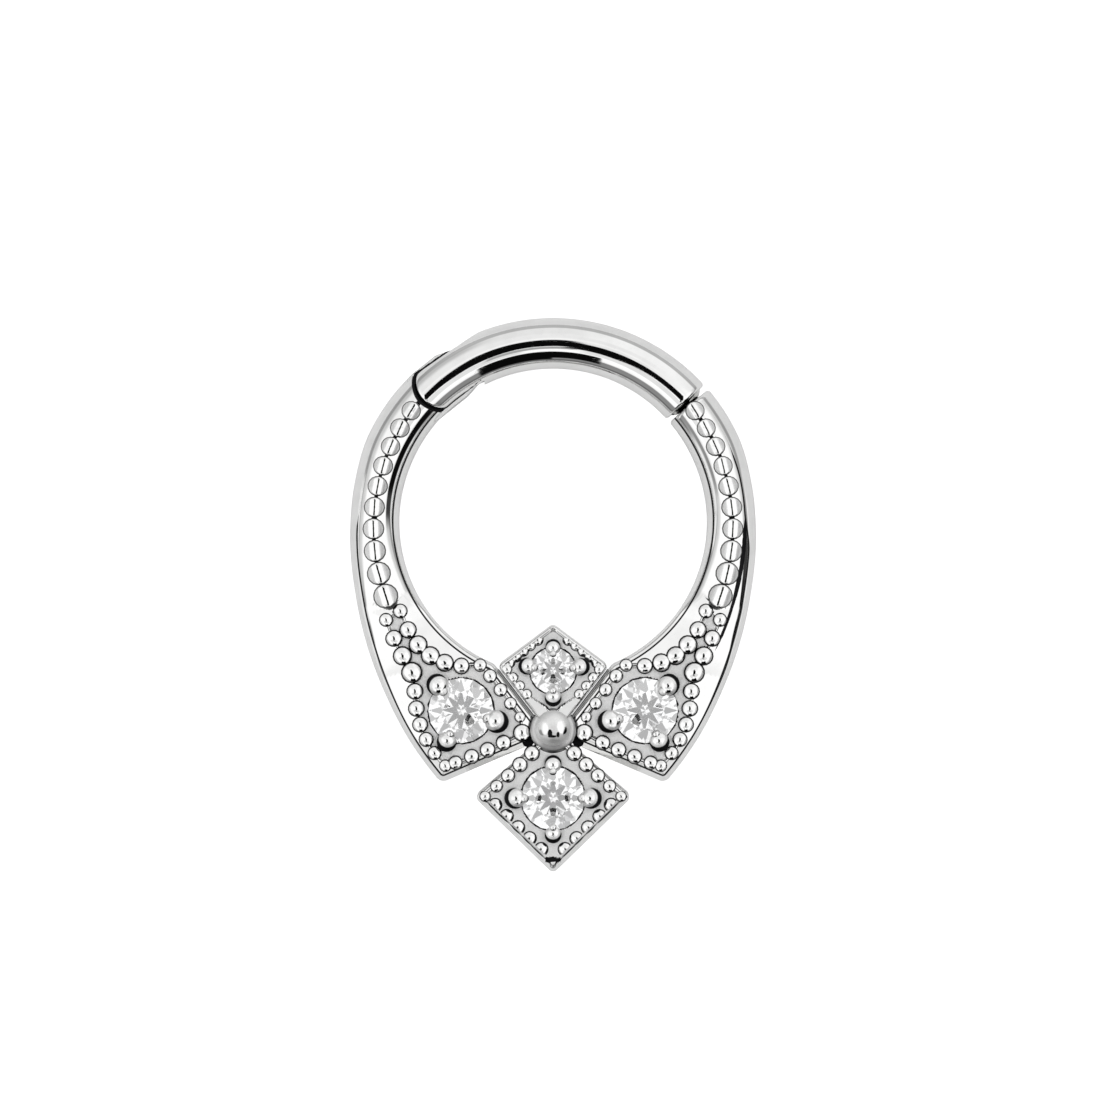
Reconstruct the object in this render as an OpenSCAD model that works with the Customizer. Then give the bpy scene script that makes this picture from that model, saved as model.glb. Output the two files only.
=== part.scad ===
// Hinged segment ring ("clicker"): a cast band with a gem-set cluster, and a round bar that swings
// open on a hidden pin. It lies on its flat back: X is to the right, Y towards the bar, Z up through
// the front. The cluster has two shields, a small upper kite, a larger lower kite and a centre ball.
// Every outline below is measured from the centre of the opening; place() moves it to the origin.

/* [Ring] */
// Diameter of the opening
opening_d = 8; // [7.9:0.05:8.1]
// Diameter of the round bar, 16 gauge
bar_d = 1.3; // [1.25:0.01:1.32]
// Radial width of the cast band at its side
band_w = 1.25; // [1.2:0.01:1.28]
// Radial width of the cast band at its two ends
band_end_w = 1.29; // [1.26:0.01:1.3]
// Height of the cast band, from its back to its face
band_h = 1.4; // [1.38:0.01:1.44]

/* [Flanks] */
// Radius of the long outer flank
flank_r = 9.85; // [9.7:0.05:10]
// Angle round the opening where the flank leaves the circle
flank_a = 175; // [172:1:178]
// Width of the rolled edge along the band
edge_w = 0.2; // [0.16:0.01:0.22]
// Depth of the rolled edge
edge_h = 0.34; // [0.25:0.01:0.4]

/* [Cluster] */
// Slope of a shield's lower edge
shield_slope = 23.3; // [22:0.1:25]
// Rounding of a shield's outer corner, more than the rolled edge's width
shield_corner_r = 0.24; // [0.23:0.01:0.28]
// Half width of the upper kite
upper_half_w = 1.46; // [1.42:0.01:1.5]
// Half width of the lower kite
lower_half_w = 2.04; // [2:0.01:2.08]
// Height of the upper kite's face
upper_face_z = 1.62; // [1.56:0.01:1.68]
// Height of the lower kite's face
lower_face_z = 1.55; // [1.5:0.01:1.6]
// Diameter of the centre ball
ball_d = 1.12; // [1.06:0.01:1.16]

/* [Stones] */
// Diameter of the two side stones
side_stone_d = 1.7; // [1.66:0.01:1.74]
// Diameter of the lower stone
lower_stone_d = 1.66; // [1.62:0.01:1.7]
// Diameter of the upper stone
upper_stone_d = 1.2; // [1.16:0.01:1.22]
// Gap between a stone and its seat
seat_gap = 0.02; // [0.015:0.005:0.03]

/* [Hinge] */
// Angle round the opening of the hinge pin
pin_a = 128.5; // [128:0.5:129.5]
// Diameter of the hinge pin
pin_d = 0.5; // [0.44:0.01:0.52]
// Thickness of the band's hinge tongue
tongue_t = 0.6; // [0.56:0.01:0.62]
// Reach of the tongue past the pin
tongue_r = 1.04; // [1:0.01:1.06]
// Radius of the bar's rounded hinge end
knuckle_r = 0.68; // [0.67:0.01:0.69]
// Running clearance in the hinge
play = 0.03; // [0.02:0.005:0.04]
// Angle of the split between the bar's free end and the band
split_a = 41.3; // [41:0.1:41.6]
// Angle that the split takes up
split_w = 1.5; // [1.4:0.1:1.6]

/* [Hidden] */
$fn = 48;
steel = [0.86, 0.86, 0.85];
clear = [0.93, 0.94, 0.95];

opening_r = opening_d / 2;
bar_r = bar_d / 2;
mid_r = opening_r + bar_r;
band_r = opening_r + band_w;
band_end_r = opening_r + band_end_w;
bar_z = band_h / 2;

function polar(r, a) = r * [cos(a), sin(a)];
function mix(a, b, t) = a + (b - a) * t;
function unit(v) = v / norm(v);
function right_of(v) = [v[1], -v[0]];
function at_z(p, z) = [p[0], p[1], z];
function last(list) = len(list) - 1;

// Points of a corner rounded to radius r, from the side of a to the side of b
function rounded(a, corner, b, r, steps) =
    let (u = unit(a - corner), v = unit(b - corner),
         half = acos(u * v) / 2,
         centre = corner + unit(u + v) * r / sin(half),
         from = corner + u * r / tan(half) - centre,
         to = corner + v * r / tan(half) - centre,
         sweep = acos(unit(from) * unit(to)),
         turn = sign(from[0] * to[1] - from[1] * to[0]),
         start = atan2(from[1], from[0]))
    [for (i = [0:steps]) centre + polar(r, start + turn * sweep * i / steps)];

// Kites, as their four sharp corners: outer tip, left, inner tip, right
upper_tips = [[0, -2.66], [-upper_half_w, -3.75], [0, -5.65], [upper_half_w, -3.75]];
lower_tips = [[0, -9.16], [lower_half_w, -7.16], [0, -5.2], [-lower_half_w, -7.16]];
kite_corner_r = 0.15;
corner_steps = 3;

function kite_outline(tips, r) = [for (i = [0:3])
    each rounded(tips[(i + 3) % 4], tips[i], tips[(i + 1) % 4], r, corner_steps)];

// The box runs from the lower kite's rounded tip to the bar's outer side, and the origin is its middle
tip_y = min([for (p = kite_outline(lower_tips, kite_corner_r)) p[1]]);
centre_y = -(mid_r + bar_r + tip_y) / 2;
module place() translate([0, centre_y, 0]) children();

// The left half of the band, as an inner and an outer rail with the same number of points
end_steps = 7;
flank_steps = 11;
shield_steps = 4;
flank_c = (band_r - flank_r) * polar(1, flank_a);
flank_end_a = 219.8;
shield_edge = [-1.211, -6.081];
shield_dir = -polar(1, shield_slope);
notch = shield_edge - shield_dir * 0.5;
shield_reach = 1.853;
shield_corner = shield_edge + shield_dir * shield_reach;
groove_w = 0.07;
groove_dir = unit(upper_tips[2] - upper_tips[1]);
groove_top = upper_tips[1] + [groove_dir[1], -groove_dir[0]] * groove_w;
groove_end = groove_top + groove_dir * 1.75;
groove_meet_a = 179 + atan(groove_top[1] / groove_top[0]);
groove_meet = polar(opening_r, groove_meet_a);
groove_corner_r = 0.3;

function inner_rail(start_a) = concat(
    [for (i = [0:end_steps - 1]) polar(opening_r, mix(start_a, flank_a, i / end_steps))],
    [for (i = [0:flank_steps - 1]) polar(opening_r, mix(flank_a, groove_meet_a - 3, i / flank_steps))],
    rounded(polar(opening_r, groove_meet_a - 3), groove_meet, groove_end, groove_corner_r, corner_steps),
    [for (i = [1:shield_steps]) mix(groove_meet, groove_end, i / shield_steps)]);

function flank_point(t) = flank_c + polar(flank_r, mix(flank_a, flank_end_a, t));

function outer_rail(start_a) = concat(
    [for (i = [0:end_steps - 1])
        polar(mix(band_end_r, band_r, i / end_steps), mix(start_a, flank_a, i / end_steps))],
    [for (i = [0:flank_steps - 1]) flank_point(i / flank_steps)],
    rounded(flank_point(1), shield_corner, notch, shield_corner_r, corner_steps),
    [for (i = [1:shield_steps]) mix(shield_corner, notch, mix(0.2, 1, i / shield_steps))]);

// Unit vectors to the right of a rail, from each point's neighbours
function rail_sides(rail) = [for (i = [0:last(rail)])
    right_of(unit(rail[min(i + 1, last(rail))] - rail[max(i - 1, 0)]))];

// One side of a section, from its back to its face: [how far in, how high]. The band's two ends,
// at share 1, are nearly as round as the bar that they meet.
back_bevel = 0.1;
end_bevel = 0.3;
end_edge_w = 0.38;
end_edge_h = 0.6;
roll_steps = 3;
function side_levels(share) = let (bevel = mix(back_bevel, end_bevel, share),
        w = mix(edge_w, end_edge_w, share), h = mix(edge_h, end_edge_h, share))
    concat([[bevel, 0], [0, bevel]], [for (i = [0:roll_steps]) let (a = 90 * i / roll_steps)
        [w * (1 - cos(a)), band_h - h * (1 - sin(a))]]);

// A closed solid through sections that all have the same number of points
module loft(sections) {
    n = len(sections[0]);
    rows = len(sections);
    sides = [for (i = [0:rows - 2], j = [0:n - 1])
        let (k = (j + 1) % n)
        each [[i * n + j, (i + 1) * n + k, i * n + k], [i * n + j, (i + 1) * n + j, (i + 1) * n + k]]];
    first = [for (j = [1:n - 2]) [0, j, j + 1]];
    top = (rows - 1) * n;
    end = [for (j = [1:n - 2]) [top, top + j + 1, top + j]];
    polyhedron([for (s = sections) each s], concat(sides, first, end));
}

module band_half() {
    inner = inner_rail(pin_a + 1);
    outer = outer_rail(pin_a + 1);
    inner_side = rail_sides(inner);
    outer_side = -rail_sides(outer);
    loft([for (i = [0:last(inner)]) let (levels = side_levels(max(0, 1 - i / end_steps))) concat(
        [for (l = levels) at_z(inner[i] + inner_side[i] * l[0], l[1])],
        [for (j = [last(levels):-1:0]) at_z(outer[i] + outer_side[i] * levels[j][0], levels[j][1])])]);
}

// A kite's outline set in by d: every kite has an inscribed circle, so it shrinks about its centre
function kite_centre(tips) =
    let (side = norm(tips[1] - tips[0]), inner = norm(tips[2] - tips[1]))
    mix(tips[0], tips[2], side / (side + inner));
function kite_inset(tips, d) =
    let (c = kite_centre(tips), u = unit(tips[1] - tips[0]), v = c - tips[0],
         r = abs(u[0] * v[1] - u[1] * v[0]))
    [for (p = kite_outline(tips, kite_corner_r)) c + (p - c) * (1 - d / r)];

module kite(tips, face_z) {
    levels = side_levels(0);
    lift = face_z - band_h;
    loft([for (i = [0:last(levels)])
        [for (p = kite_inset(tips, levels[i][0])) at_z(p, levels[i][1] + (i > 1 ? lift : 0))]]);
}

// Milgrain rows of the left half: first bead, bend, last bead, number of beads, bead radius at each
shield_rows = [
    [[-4.35, -2.56], [-4.06, -3.3], [-3.68, -3.93], 4, [0.18, 0.23, 0.27]],
    [[-3.62, -4.43], [-3.62, -5.6], [-2.83, -6.38], 6, [0.21, 0.21, 0.16]],
    [[-3.98, -2.33], [-3.45, -3.95], [-1.9, -3.74], 7, [0.18, 0.28, 0.18]],
    [[-1.64, -4.02], [-1.22, -4.56], [-0.86, -5.09], 4, [0.18, 0.17, 0.13]],
    [[-0.81, -5.5], [-0.81, -5.5], [-0.81, -5.5], 1, [0.23, 0.23, 0.23]],
    [[-1.3, -5.79], [-1.92, -6.08], [-2.55, -6.31], 4, [0.2, 0.21, 0.18]]];
lower_rows = [
    [[-0.55, -6.03], [-1.18, -6.63], [-1.77, -7.15], 5, [0.19, 0.19, 0.13]],
    [[-1.51, -7.38], [-0.92, -7.97], [-0.31, -8.53], 5, [0.18, 0.18, 0.18]]];
upper_rows = [
    [[-0.44, -3.11], [-0.8, -3.36], [-1.12, -3.66], 4, [0.13, 0.13, 0.13]],
    [[-1.22, -3.84], [-0.98, -4.16], [-0.7, -4.49], 4, [0.13, 0.12, 0.12]]];
function bend(a, b, c, t) = mix(mix(a, b, t), mix(b, c, t), t);

// A milgrain bead: a ball sunk so that its dome is wider than high
bead_sink = 0.3;
module bead(p, r, face_z) {
    ball_r = r / sqrt(1 - bead_sink * bead_sink);
    translate(at_z(p, face_z - bead_sink * ball_r)) sphere(ball_r);
}

module bead_rows(rows, face_z) for (row = rows) {
    radii = row[4];
    for (i = [0:row[3] - 1]) {
        t = i / max(row[3] - 1, 1);
        bead(bend(row[0], row[1], row[2], t), bend(radii[0], radii[1], radii[2], t), face_z);
    }
}

// The strand down the band, whose beads grow towards the shield
strand = 10;
strand_a = [142, 204];
strand_r = [4.68, 4.62, 4.8];
strand_bead_r = [0.25, 0.27, 0.32];
module strand_beads() for (i = [0:strand - 1]) {
    t = i / (strand - 1);
    bead(polar(bend(strand_r[0], strand_r[1], strand_r[2], t), mix(strand_a[0], strand_a[1], t)),
        bend(strand_bead_r[0], strand_bead_r[1], strand_bead_r[2], t), band_h);
}

// Stones: centre, diameter, face that the setting stands on, prongs as [angle, distance past the rim]
SIDE = [[-2.4, -4.92], side_stone_d, band_h, [[132.5, 0.1], [-17, 0.17], [245.5, 0.08]]];
LOWER = [[0, -7.2], lower_stone_d, lower_face_z, [[0, 0.22], [90, 0.08], [180, 0.22], [270, 0.14]]];
UPPER = [[0, -3.88], upper_stone_d, upper_face_z, [[8, 0.16], [90, 0.04], [170, 0.1], [270, 0.13]]];
girdle_lift = 0.03;
girdle_t = 0.04;
table_share = 0.56;
star_share = 0.77;
crown_share = 0.15;
pavilion_share = 0.42;
low_share = 0.3;
prong_r = 0.2;
prong_rise = 0.12;

// A round brilliant about its girdle: table, stars, bezels, girdle facets and pavilion
function ring_of(r, z, count, turn) = [for (k = [0:count - 1]) at_z(polar(r, turn + k * 360 / count), z)];
module brilliant(d) {
    r = d / 2;
    crown = crown_share * d;
    pavilion = pavilion_share * d;
    g = girdle_t / 2;
    star_z = g + crown * (1 - star_share * cos(22.5)) / (1 - table_share);
    low_z = -g - pavilion * (1 - low_share * cos(22.5));
    points = concat(ring_of(table_share * r, g + crown, 8, 0), ring_of(star_share * r, star_z, 8, 22.5),
        ring_of(r, g, 16, 0), ring_of(r, -g, 16, 0), ring_of(low_share * r, low_z, 8, 22.5),
        [[0, 0, -g - pavilion]]);
    star = 8;
    rim = 16;
    under = 32;
    low = 48;
    culet = 56;
    faces = concat([[for (k = [7:-1:0]) k]], [for (k = [0:7])
        let (next = (k + 1) % 8, before = (k + 7) % 8, a = 2 * k, b = 2 * k + 1, c = (2 * k + 2) % 16)
        each [[k, next, star + k],
            [k, star + k, rim + a], [k, rim + a, star + before],
            [star + k, rim + b, rim + a], [star + k, rim + c, rim + b],
            [rim + a, rim + b, under + b], [rim + a, under + b, under + a],
            [rim + b, rim + c, under + c], [rim + b, under + c, under + b],
            [under + a, under + b, low + k], [under + b, under + c, low + k],
            [under + a, low + k, culet], [under + a, culet, low + before]]]);
    polyhedron(points, faces);
}

// The girdle's height over the face, and the round space that a stone and its seat's gap take up
module set_at(stone) translate(at_z(stone[0], stone[2] + girdle_lift)) children();
module pocket(stone) {
    r = stone[1] / 2;
    g = girdle_t / 2 + seat_gap;
    crown = crown_share * stone[1];
    pavilion = pavilion_share * stone[1] + 1.3 * seat_gap;
    light_r = 0.45 * r;
    set_at(stone) {
        rotate_extrude() polygon([[0, -g - pavilion], [r + seat_gap, -g], [r + seat_gap, g],
            [table_share * r + seat_gap, g + crown], [table_share * r + seat_gap, 1], [0, 1]]);
        translate([0, 0, -2]) cylinder(r = light_r, h = 2 - g - pavilion * (1 - light_r / r) + 0.05);
    }
}

module prongs(stone) for (prong = stone[3]) {
    p = stone[0] + polar(stone[1] / 2 + prong[1], prong[0]);
    top = stone[2] + girdle_lift + prong_rise;
    translate(at_z(p, stone[2] - 0.3)) cylinder(r = prong_r, h = top - stone[2] + 0.3);
    translate(at_z(p, top)) sphere(prong_r);
}

// The floor of the groove between a shield and the upper kite
web_h = 1.2;
web_w = 0.3;
module web() translate(at_z(groove_top, back_bevel)) rotate(atan2(groove_dir[1], groove_dir[0]))
    translate([0.08, -web_w / 2, 0]) cube([1.6, web_w, web_h - back_bevel]);

// Centre ball on its collar
hub = [0, -5.42];
hub_r = 0.62;
ball_z = 1.62;
module centre_ball() {
    translate(at_z(hub, back_bevel)) cylinder(r = hub_r, h = ball_z + 0.05 - back_bevel);
    translate(at_z(hub, ball_z)) sphere(ball_d / 2);
}

// Hinge: at_pin() puts its children on the pin's axis, with X pointing back into the band
pin = polar(mid_r, pin_a);
pin_top = bar_z + 0.45;
socket_r = knuckle_r + 2 * play;
slot_r = tongue_r + 2 * play;
module at_pin(z) translate(at_z(pin, z)) rotate(pin_a + 90) children();
module disc(r, h, z) at_pin(z - h / 2) cylinder(r = r, h = h);
module bar(from, to, r) translate([0, 0, bar_z]) rotate(from)
    rotate_extrude(angle = to - from) translate([mid_r, 0]) circle(r);

tongue_in = bar_r + 0.06;
tongue_out = bar_r - 0.02;
tongue_root = 0.75;
module tongue() intersection() {
    cylinder(r = band_end_r, h = band_h);
    at_pin(bar_z - tongue_t / 2) intersection() {
        union() {
            cylinder(r = tongue_r, h = tongue_t);
            translate([0, -tongue_r, 0]) cube([tongue_root, 2 * tongue_r, tongue_t]);
        }
        translate([-2, -tongue_out, 0]) cube([2 + tongue_root, tongue_out + tongue_in, tongue_t]);
    }
}

// The flat along the bar's outer side at the hinge
flat_out = 0.53;
flat_slant = 4;
flat_l = 1.75;
module bar_flat() at_pin(-1) rotate(-flat_slant) translate([-flat_l, -flat_out - 1, 0]) cube([3, 1, 4]);

// Latch: a low round nub on the bar's end face sits in a dimple of the band's end face
nub_r = 0.72;
nub_h = 0.2;
module at_split(turn) rotate(split_a + turn) translate([mid_r, 0, bar_z]) children();
module nub(r) at_split(split_w / 2) translate([0, nub_r - nub_h, 0]) sphere(r);
module beyond(size) translate([-size / 2, 0, -size / 2]) cube(size);

module ring_body() color(steel) place() difference() {
    union() {
        difference() {
            band_half();
            disc(socket_r, 3, bar_z);
        }
        difference() {
            mirror([1, 0, 0]) band_half();
            at_split(-split_w / 2) beyond(4);
        }
        tongue();
        kite(upper_tips, upper_face_z);
        kite(lower_tips, lower_face_z);
        centre_ball();
        for (side = [0, 1]) mirror([side, 0, 0]) {
            web();
            strand_beads();
            bead_rows(shield_rows, band_h);
            bead_rows(lower_rows, lower_face_z);
            bead_rows(upper_rows, upper_face_z);
            prongs(SIDE);
        }
        prongs(LOWER);
        prongs(UPPER);
    }
    for (side = [0, 1]) mirror([side, 0, 0]) pocket(SIDE);
    pocket(LOWER);
    pocket(UPPER);
    disc(pin_d / 2 + play, 1, bar_z);
    nub(nub_r + play);
}

module hinge_segment() color(steel) place() difference() {
    union() {
        intersection() {
            bar(split_a + split_w / 2, pin_a + 12, bar_r);
            union() {
                disc(knuckle_r, 3, bar_z);
                at_pin(-1) translate([-12, -8, 0]) cube([12, 16, 4]);
            }
        }
        intersection() {
            nub(nub_r);
            at_split(split_w / 2) translate([0, 0.4, 0]) rotate([90, 0, 0]) cylinder(r = 0.55, h = 1);
        }
    }
    bar_flat();
    disc(slot_r, tongue_t + 2 * play, bar_z);
    at_pin(-1) cylinder(r = pin_d / 2 + play / 2, h = pin_top + play + 1);
}

module hinge_pin() color(steel) place() at_pin(bar_z - 0.6) cylinder(r = pin_d / 2, h = pin_top - bar_z + 0.6);

module stone(cut) color(clear) place() set_at(cut) brilliant(cut[1]);
module stone_left() stone(SIDE);
module stone_right() mirror([1, 0, 0]) stone(SIDE);
module stone_upper() stone(UPPER);
module stone_lower() stone(LOWER);

ring_body();
hinge_segment();
hinge_pin();
stone_left();
stone_right();
stone_upper();
stone_lower();
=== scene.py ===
# Looks of a hinged segment ring with a gem-set cluster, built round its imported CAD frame.
# Every shape is made in millimetres from the centre of the opening, and finish_piece() moves it
# to the row frame, in metres.

import math

import bmesh
import bpy
import numpy as np
from bpy.props import FloatProperty, FloatVectorProperty, IntProperty, PointerProperty
from mathutils import Matrix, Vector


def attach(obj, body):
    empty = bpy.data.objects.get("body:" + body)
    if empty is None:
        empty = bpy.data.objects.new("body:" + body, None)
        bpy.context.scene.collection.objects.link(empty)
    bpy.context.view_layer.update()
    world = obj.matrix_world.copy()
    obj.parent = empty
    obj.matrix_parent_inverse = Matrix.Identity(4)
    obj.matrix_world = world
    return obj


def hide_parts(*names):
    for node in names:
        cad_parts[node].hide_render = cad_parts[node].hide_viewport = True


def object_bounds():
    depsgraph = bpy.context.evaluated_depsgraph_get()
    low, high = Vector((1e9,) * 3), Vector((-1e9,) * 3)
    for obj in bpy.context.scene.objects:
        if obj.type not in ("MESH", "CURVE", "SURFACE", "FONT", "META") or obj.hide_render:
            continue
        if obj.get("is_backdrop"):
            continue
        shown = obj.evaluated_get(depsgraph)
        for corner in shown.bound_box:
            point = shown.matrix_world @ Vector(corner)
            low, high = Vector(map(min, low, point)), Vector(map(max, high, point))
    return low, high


bl_info = {
    "name": "Hinged segment ring",
    "version": (1, 0, 0),
    "blender": (4, 5, 0),
    "location": "View3D > Sidebar > Ring",
    "description": "Builds the polished metal, beads, claws, stones and studio of a hinged segment ring",
    "category": "Add Mesh",
}

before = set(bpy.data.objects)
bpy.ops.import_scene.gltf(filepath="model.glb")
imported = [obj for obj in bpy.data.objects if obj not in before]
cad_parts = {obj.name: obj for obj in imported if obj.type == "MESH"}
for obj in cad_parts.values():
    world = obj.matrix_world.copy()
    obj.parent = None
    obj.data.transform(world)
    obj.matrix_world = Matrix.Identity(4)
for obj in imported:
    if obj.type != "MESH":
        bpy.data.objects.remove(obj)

MM = 0.001
CENTRE_Y = 1.89748
STEEL = "Polished steel"
# A darker copy of the polished steel, which paints shade on the slot discs, the groove floor and the pin
# inside the hinge
SHADED_STEEL = "Shaded steel"
STONE = "Cut stone"
# Colour of the painted shade and of dark painted reflections
SHADE_COLOUR = (0.013, 0.013, 0.014, 1)

# Lengths that the whole ring shares, in millimetres and degrees from the opening's centre
BAND_H = 1.4
MID_Z = 0.7
MID_R = 4.65
PIN_A = 128.5
SPLIT_A = 41.3
SPLIT_W = 1.5
END_R = 5.34
BAND_R = 5.29
FLANK_A = 175
UPPER_TIPS = np.array([[0, -2.66], [-1.46, -3.75], [0, -5.65], [1.46, -3.75]])
LOWER_TIPS = np.array([[0, -9.17], [2.06, -7.17], [0, -5.42], [-2.06, -7.17]])
UPPER_FACE = 1.62
LOWER_FACE = 1.55
HUB = (0.0, -5.42)
SLOT_END = (-0.66, -5.71)
GIRDLE_LIFT = 0.03
FOOT_FROM = 0.65


# Stones: centre, radius, face they stand on, claws as (angle, distance past the rim, body radius)
SIDE = ((-2.4, -4.92), 0.85, BAND_H, ((132.5, 0.1, 0.28), (-17, 0.17, 0.3), (245.5, 0.08, 0.26)))
LOWER = ((0, -7.2), 0.83, LOWER_FACE, (
    (0, 0.2, 0.27), (90, 0.1, 0.22), (180, 0.2, 0.27), (270, 0.15, 0.22)))
UPPER = ((0, -3.88), 0.6, UPPER_FACE, (
    (8, 0.16, 0.23), (90, 0.05, 0.2), (170, 0.12, 0.22), (270, 0.14, 0.22)))


# Milgrain rows of the left half: first bead, bend, last bead, count, three bead radii
SHIELD_ROWS = (
    ((-4.35, -2.56), (-4.06, -3.3), (-3.68, -3.93), 4, (0.19, 0.25, 0.285)),
    ((-3.6, -4.42), (-3.58, -5.58), (-2.81, -6.36), 6, (0.225, 0.225, 0.17)),
    ((-3.98, -2.33), (-3.45, -3.95), (-1.9, -3.74), 7, (0.2, 0.33, 0.18)),
    ((-1.64, -4.02), (-1.22, -4.56), (-0.86, -5.09), 4, (0.19, 0.19, 0.15)),
    ((-0.81, -5.5), (-0.81, -5.5), (-0.81, -5.5), 1, (0.24, 0.24, 0.24)),
    ((-1.29, -5.76), (-1.91, -6.05), (-2.54, -6.28), 4, (0.21, 0.22, 0.19)),
)
LOWER_ROWS = (((-0.55, -6.03), (-1.18, -6.63), (-1.77, -7.15), 5, (0.21, 0.205, 0.15)),)
UPPER_ROWS = (((-1.2, -3.84), (-0.96, -4.16), (-0.68, -4.49), 4, (0.14, 0.13, 0.14)),)
LOWER_SCALLOPS = (((-1.51, -7.38), (-0.92, -7.97), (-0.31, -8.53), 5, (0.2, 0.2, 0.2)),)
UPPER_SCALLOPS = (((-0.4, -3.08), (-0.8, -3.36), (-1.14, -3.67), 5, (0.16, 0.16, 0.16)),)

# Strand of beads down each arm: angles of its ends, radii of its path and of its beads
STRAND_A = (142.0, 204.0)
STRAND_R = (4.69, 4.60, 4.77)
STRAND_BEAD_R = (0.255, 0.25, 0.33)
STRAND_CROWDING = 0.045


def polar(radius, degrees):
    a = np.radians(degrees)
    return np.stack([radius * np.cos(a), radius * np.sin(a)], axis=-1)


# The hinge's pin in plan, and its directions along the band and to the ring's centre
PIN = MID_R * polar(1, PIN_A)
PIN_X = polar(1, PIN_A + 90)
PIN_Y = polar(1, PIN_A + 180)

# Steps round an eased edge
EASE = np.radians([90, 67.5, 45, 22.5, 0])


def mix(a, b, t):
    return a + (b - a) * t


def span(v):
    """Length of a vector, or of each row's."""
    return np.linalg.norm(v, axis=-1)


def unit(v):
    return v / span(v)[..., None]


def bend(a, b, c, t):
    return mix(mix(a, b, t), mix(b, c, t), t)


def smooth(low, high, x):
    t = np.clip((x - low) / (high - low), 0, 1)
    return t * t * (3 - 2 * t)


def rounded(a, corner, b, radius, steps):
    """Points of a corner rounded to a radius, from the side of a to the side of b."""
    u, v = unit(a - corner), unit(b - corner)
    half = math.acos(float(u @ v)) / 2
    centre = corner + unit(u + v) * radius / math.sin(half)
    start, end = corner + u * radius / math.tan(half) - centre, corner + v * radius / math.tan(half) - centre
    sweep = math.degrees(math.acos(float(unit(start) @ unit(end))))
    turn = math.copysign(1, start[0] * end[1] - start[1] * end[0])
    first = math.degrees(math.atan2(start[1], start[0]))
    return centre + polar(radius, first + turn * sweep * np.linspace(0, 1, steps + 1))


def to_line(points, line):
    """Each point's distance to a polyline."""
    best = np.full(len(points), np.inf)
    for a, b in zip(line[:-1], line[1:]):
        along = b - a
        t = np.clip((points - a) @ along / max(along @ along, 1e-12), 0, 1)
        best = np.minimum(best, span(points - a - t[:, None] * along))
    return best


def inside(points, outline):
    """Whether each point is inside a closed outline."""
    hit = np.zeros(len(points), bool)
    x, y = points[:, 0], points[:, 1]
    for (ax, ay), (bx, by) in zip(outline, np.roll(outline, -1, axis=0)):
        if ay != by:
            crossing = (ay > y) != (by > y)
            hit ^= crossing & (x < (bx - ax) * (y - ay) / (by - ay) + ax)
    return hit


def left(points):
    """Points in plan, all on the left half."""
    return np.stack([-np.abs(points[..., 0]), points[..., 1]], axis=-1)


def bearing(flat):
    """Angle of points in plan round the opening's centre, from 0 to 360 degrees."""
    return np.degrees(np.arctan2(flat[..., 1], flat[..., 0])) % 360


def level(flat, height):
    """Points in plan, put at one height."""
    return np.column_stack([flat, np.full(len(flat), float(height))])


def row_points(row, steps=None):
    """Places and radii of a row's beads, or of more steps along it."""
    first, middle, last, count, radii = row
    t = np.linspace(0, 1, steps or count)[:, None] if count > 1 else np.zeros((1, 1))
    points = bend(np.array(first), np.array(middle), np.array(last), t)
    return points, bend(radii[0], radii[1], radii[2], t[:, 0])


def strand_points(count, first=0.0):
    """Places and radii of the strand's beads on the left arm."""
    t = np.linspace(first, 1, count)
    t = t + STRAND_CROWDING * (t**3 - t)
    points = polar(bend(*STRAND_R, t), mix(*STRAND_A, t))
    return points, bend(*STRAND_BEAD_R, t)


# Mesh tools


def new_object(name, points, faces):
    mesh = bpy.data.meshes.new(name)
    mesh.from_pydata(np.asarray(points, float).tolist(), [], [tuple(f) for f in faces])
    mesh.validate()
    obj = bpy.data.objects.new(name, mesh)
    bpy.context.scene.collection.objects.link(obj)
    return obj


def grid_faces(rows, columns, closed):
    """Quads between rows of points, whose columns may close into a loop."""
    i, j = np.meshgrid(np.arange(rows - 1), np.arange(columns if closed else columns - 1), indexing="ij")
    k = (j + 1) % columns
    here, ahead = i * columns, (i + 1) * columns
    return np.stack([here + j, ahead + j, ahead + k, here + k], axis=-1).reshape(-1, 4).tolist()


def fan(start, count, pole, back=False):
    """Triangles between a closed loop of points and a pole, turned round for the underside."""
    return [[start + (j + back) % count, start + (j + 1 - back) % count, pole] for j in range(count)]


def lathe(profile, centre, segments):
    """A closed solid turned from (radius, height) pairs that start and end on the axis."""
    inner = profile[1:-1]
    angles = np.arange(segments) * 360 / segments
    points = [[centre[0] + p[0], centre[1] + p[1], z] for r, z in inner for p in polar(r, angles)]
    faces = grid_faces(len(inner), segments, True)
    for end, ring in ((profile[0][1], 0), (profile[-1][1], len(inner) - 1)):
        points.append([centre[0], centre[1], end])
        pole = len(points) - 1
        faces += [[pole, ring * segments + j, ring * segments + (j + 1) % segments] for j in range(segments)]
    return np.array(points), faces


def loft(loops):
    """A closed solid through loops of points, with a flat face at each end."""
    n, top = len(loops[0]), (len(loops) - 1) * len(loops[0])
    ends = [list(range(n)), list(range(top + n - 1, top - 1, -1))]
    return np.concatenate(loops), grid_faces(len(loops), n, True) + ends


def join(*parts):
    points, faces, start = [], [], 0
    for some, theirs in parts:
        points.append(np.asarray(some, float))
        faces += [[start + k for k in f] for f in theirs]
        start += len(some)
    return np.concatenate(points), faces


def mirrored(part):
    points, faces = part
    return points * [-1, 1, 1], [f[::-1] for f in faces]


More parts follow.
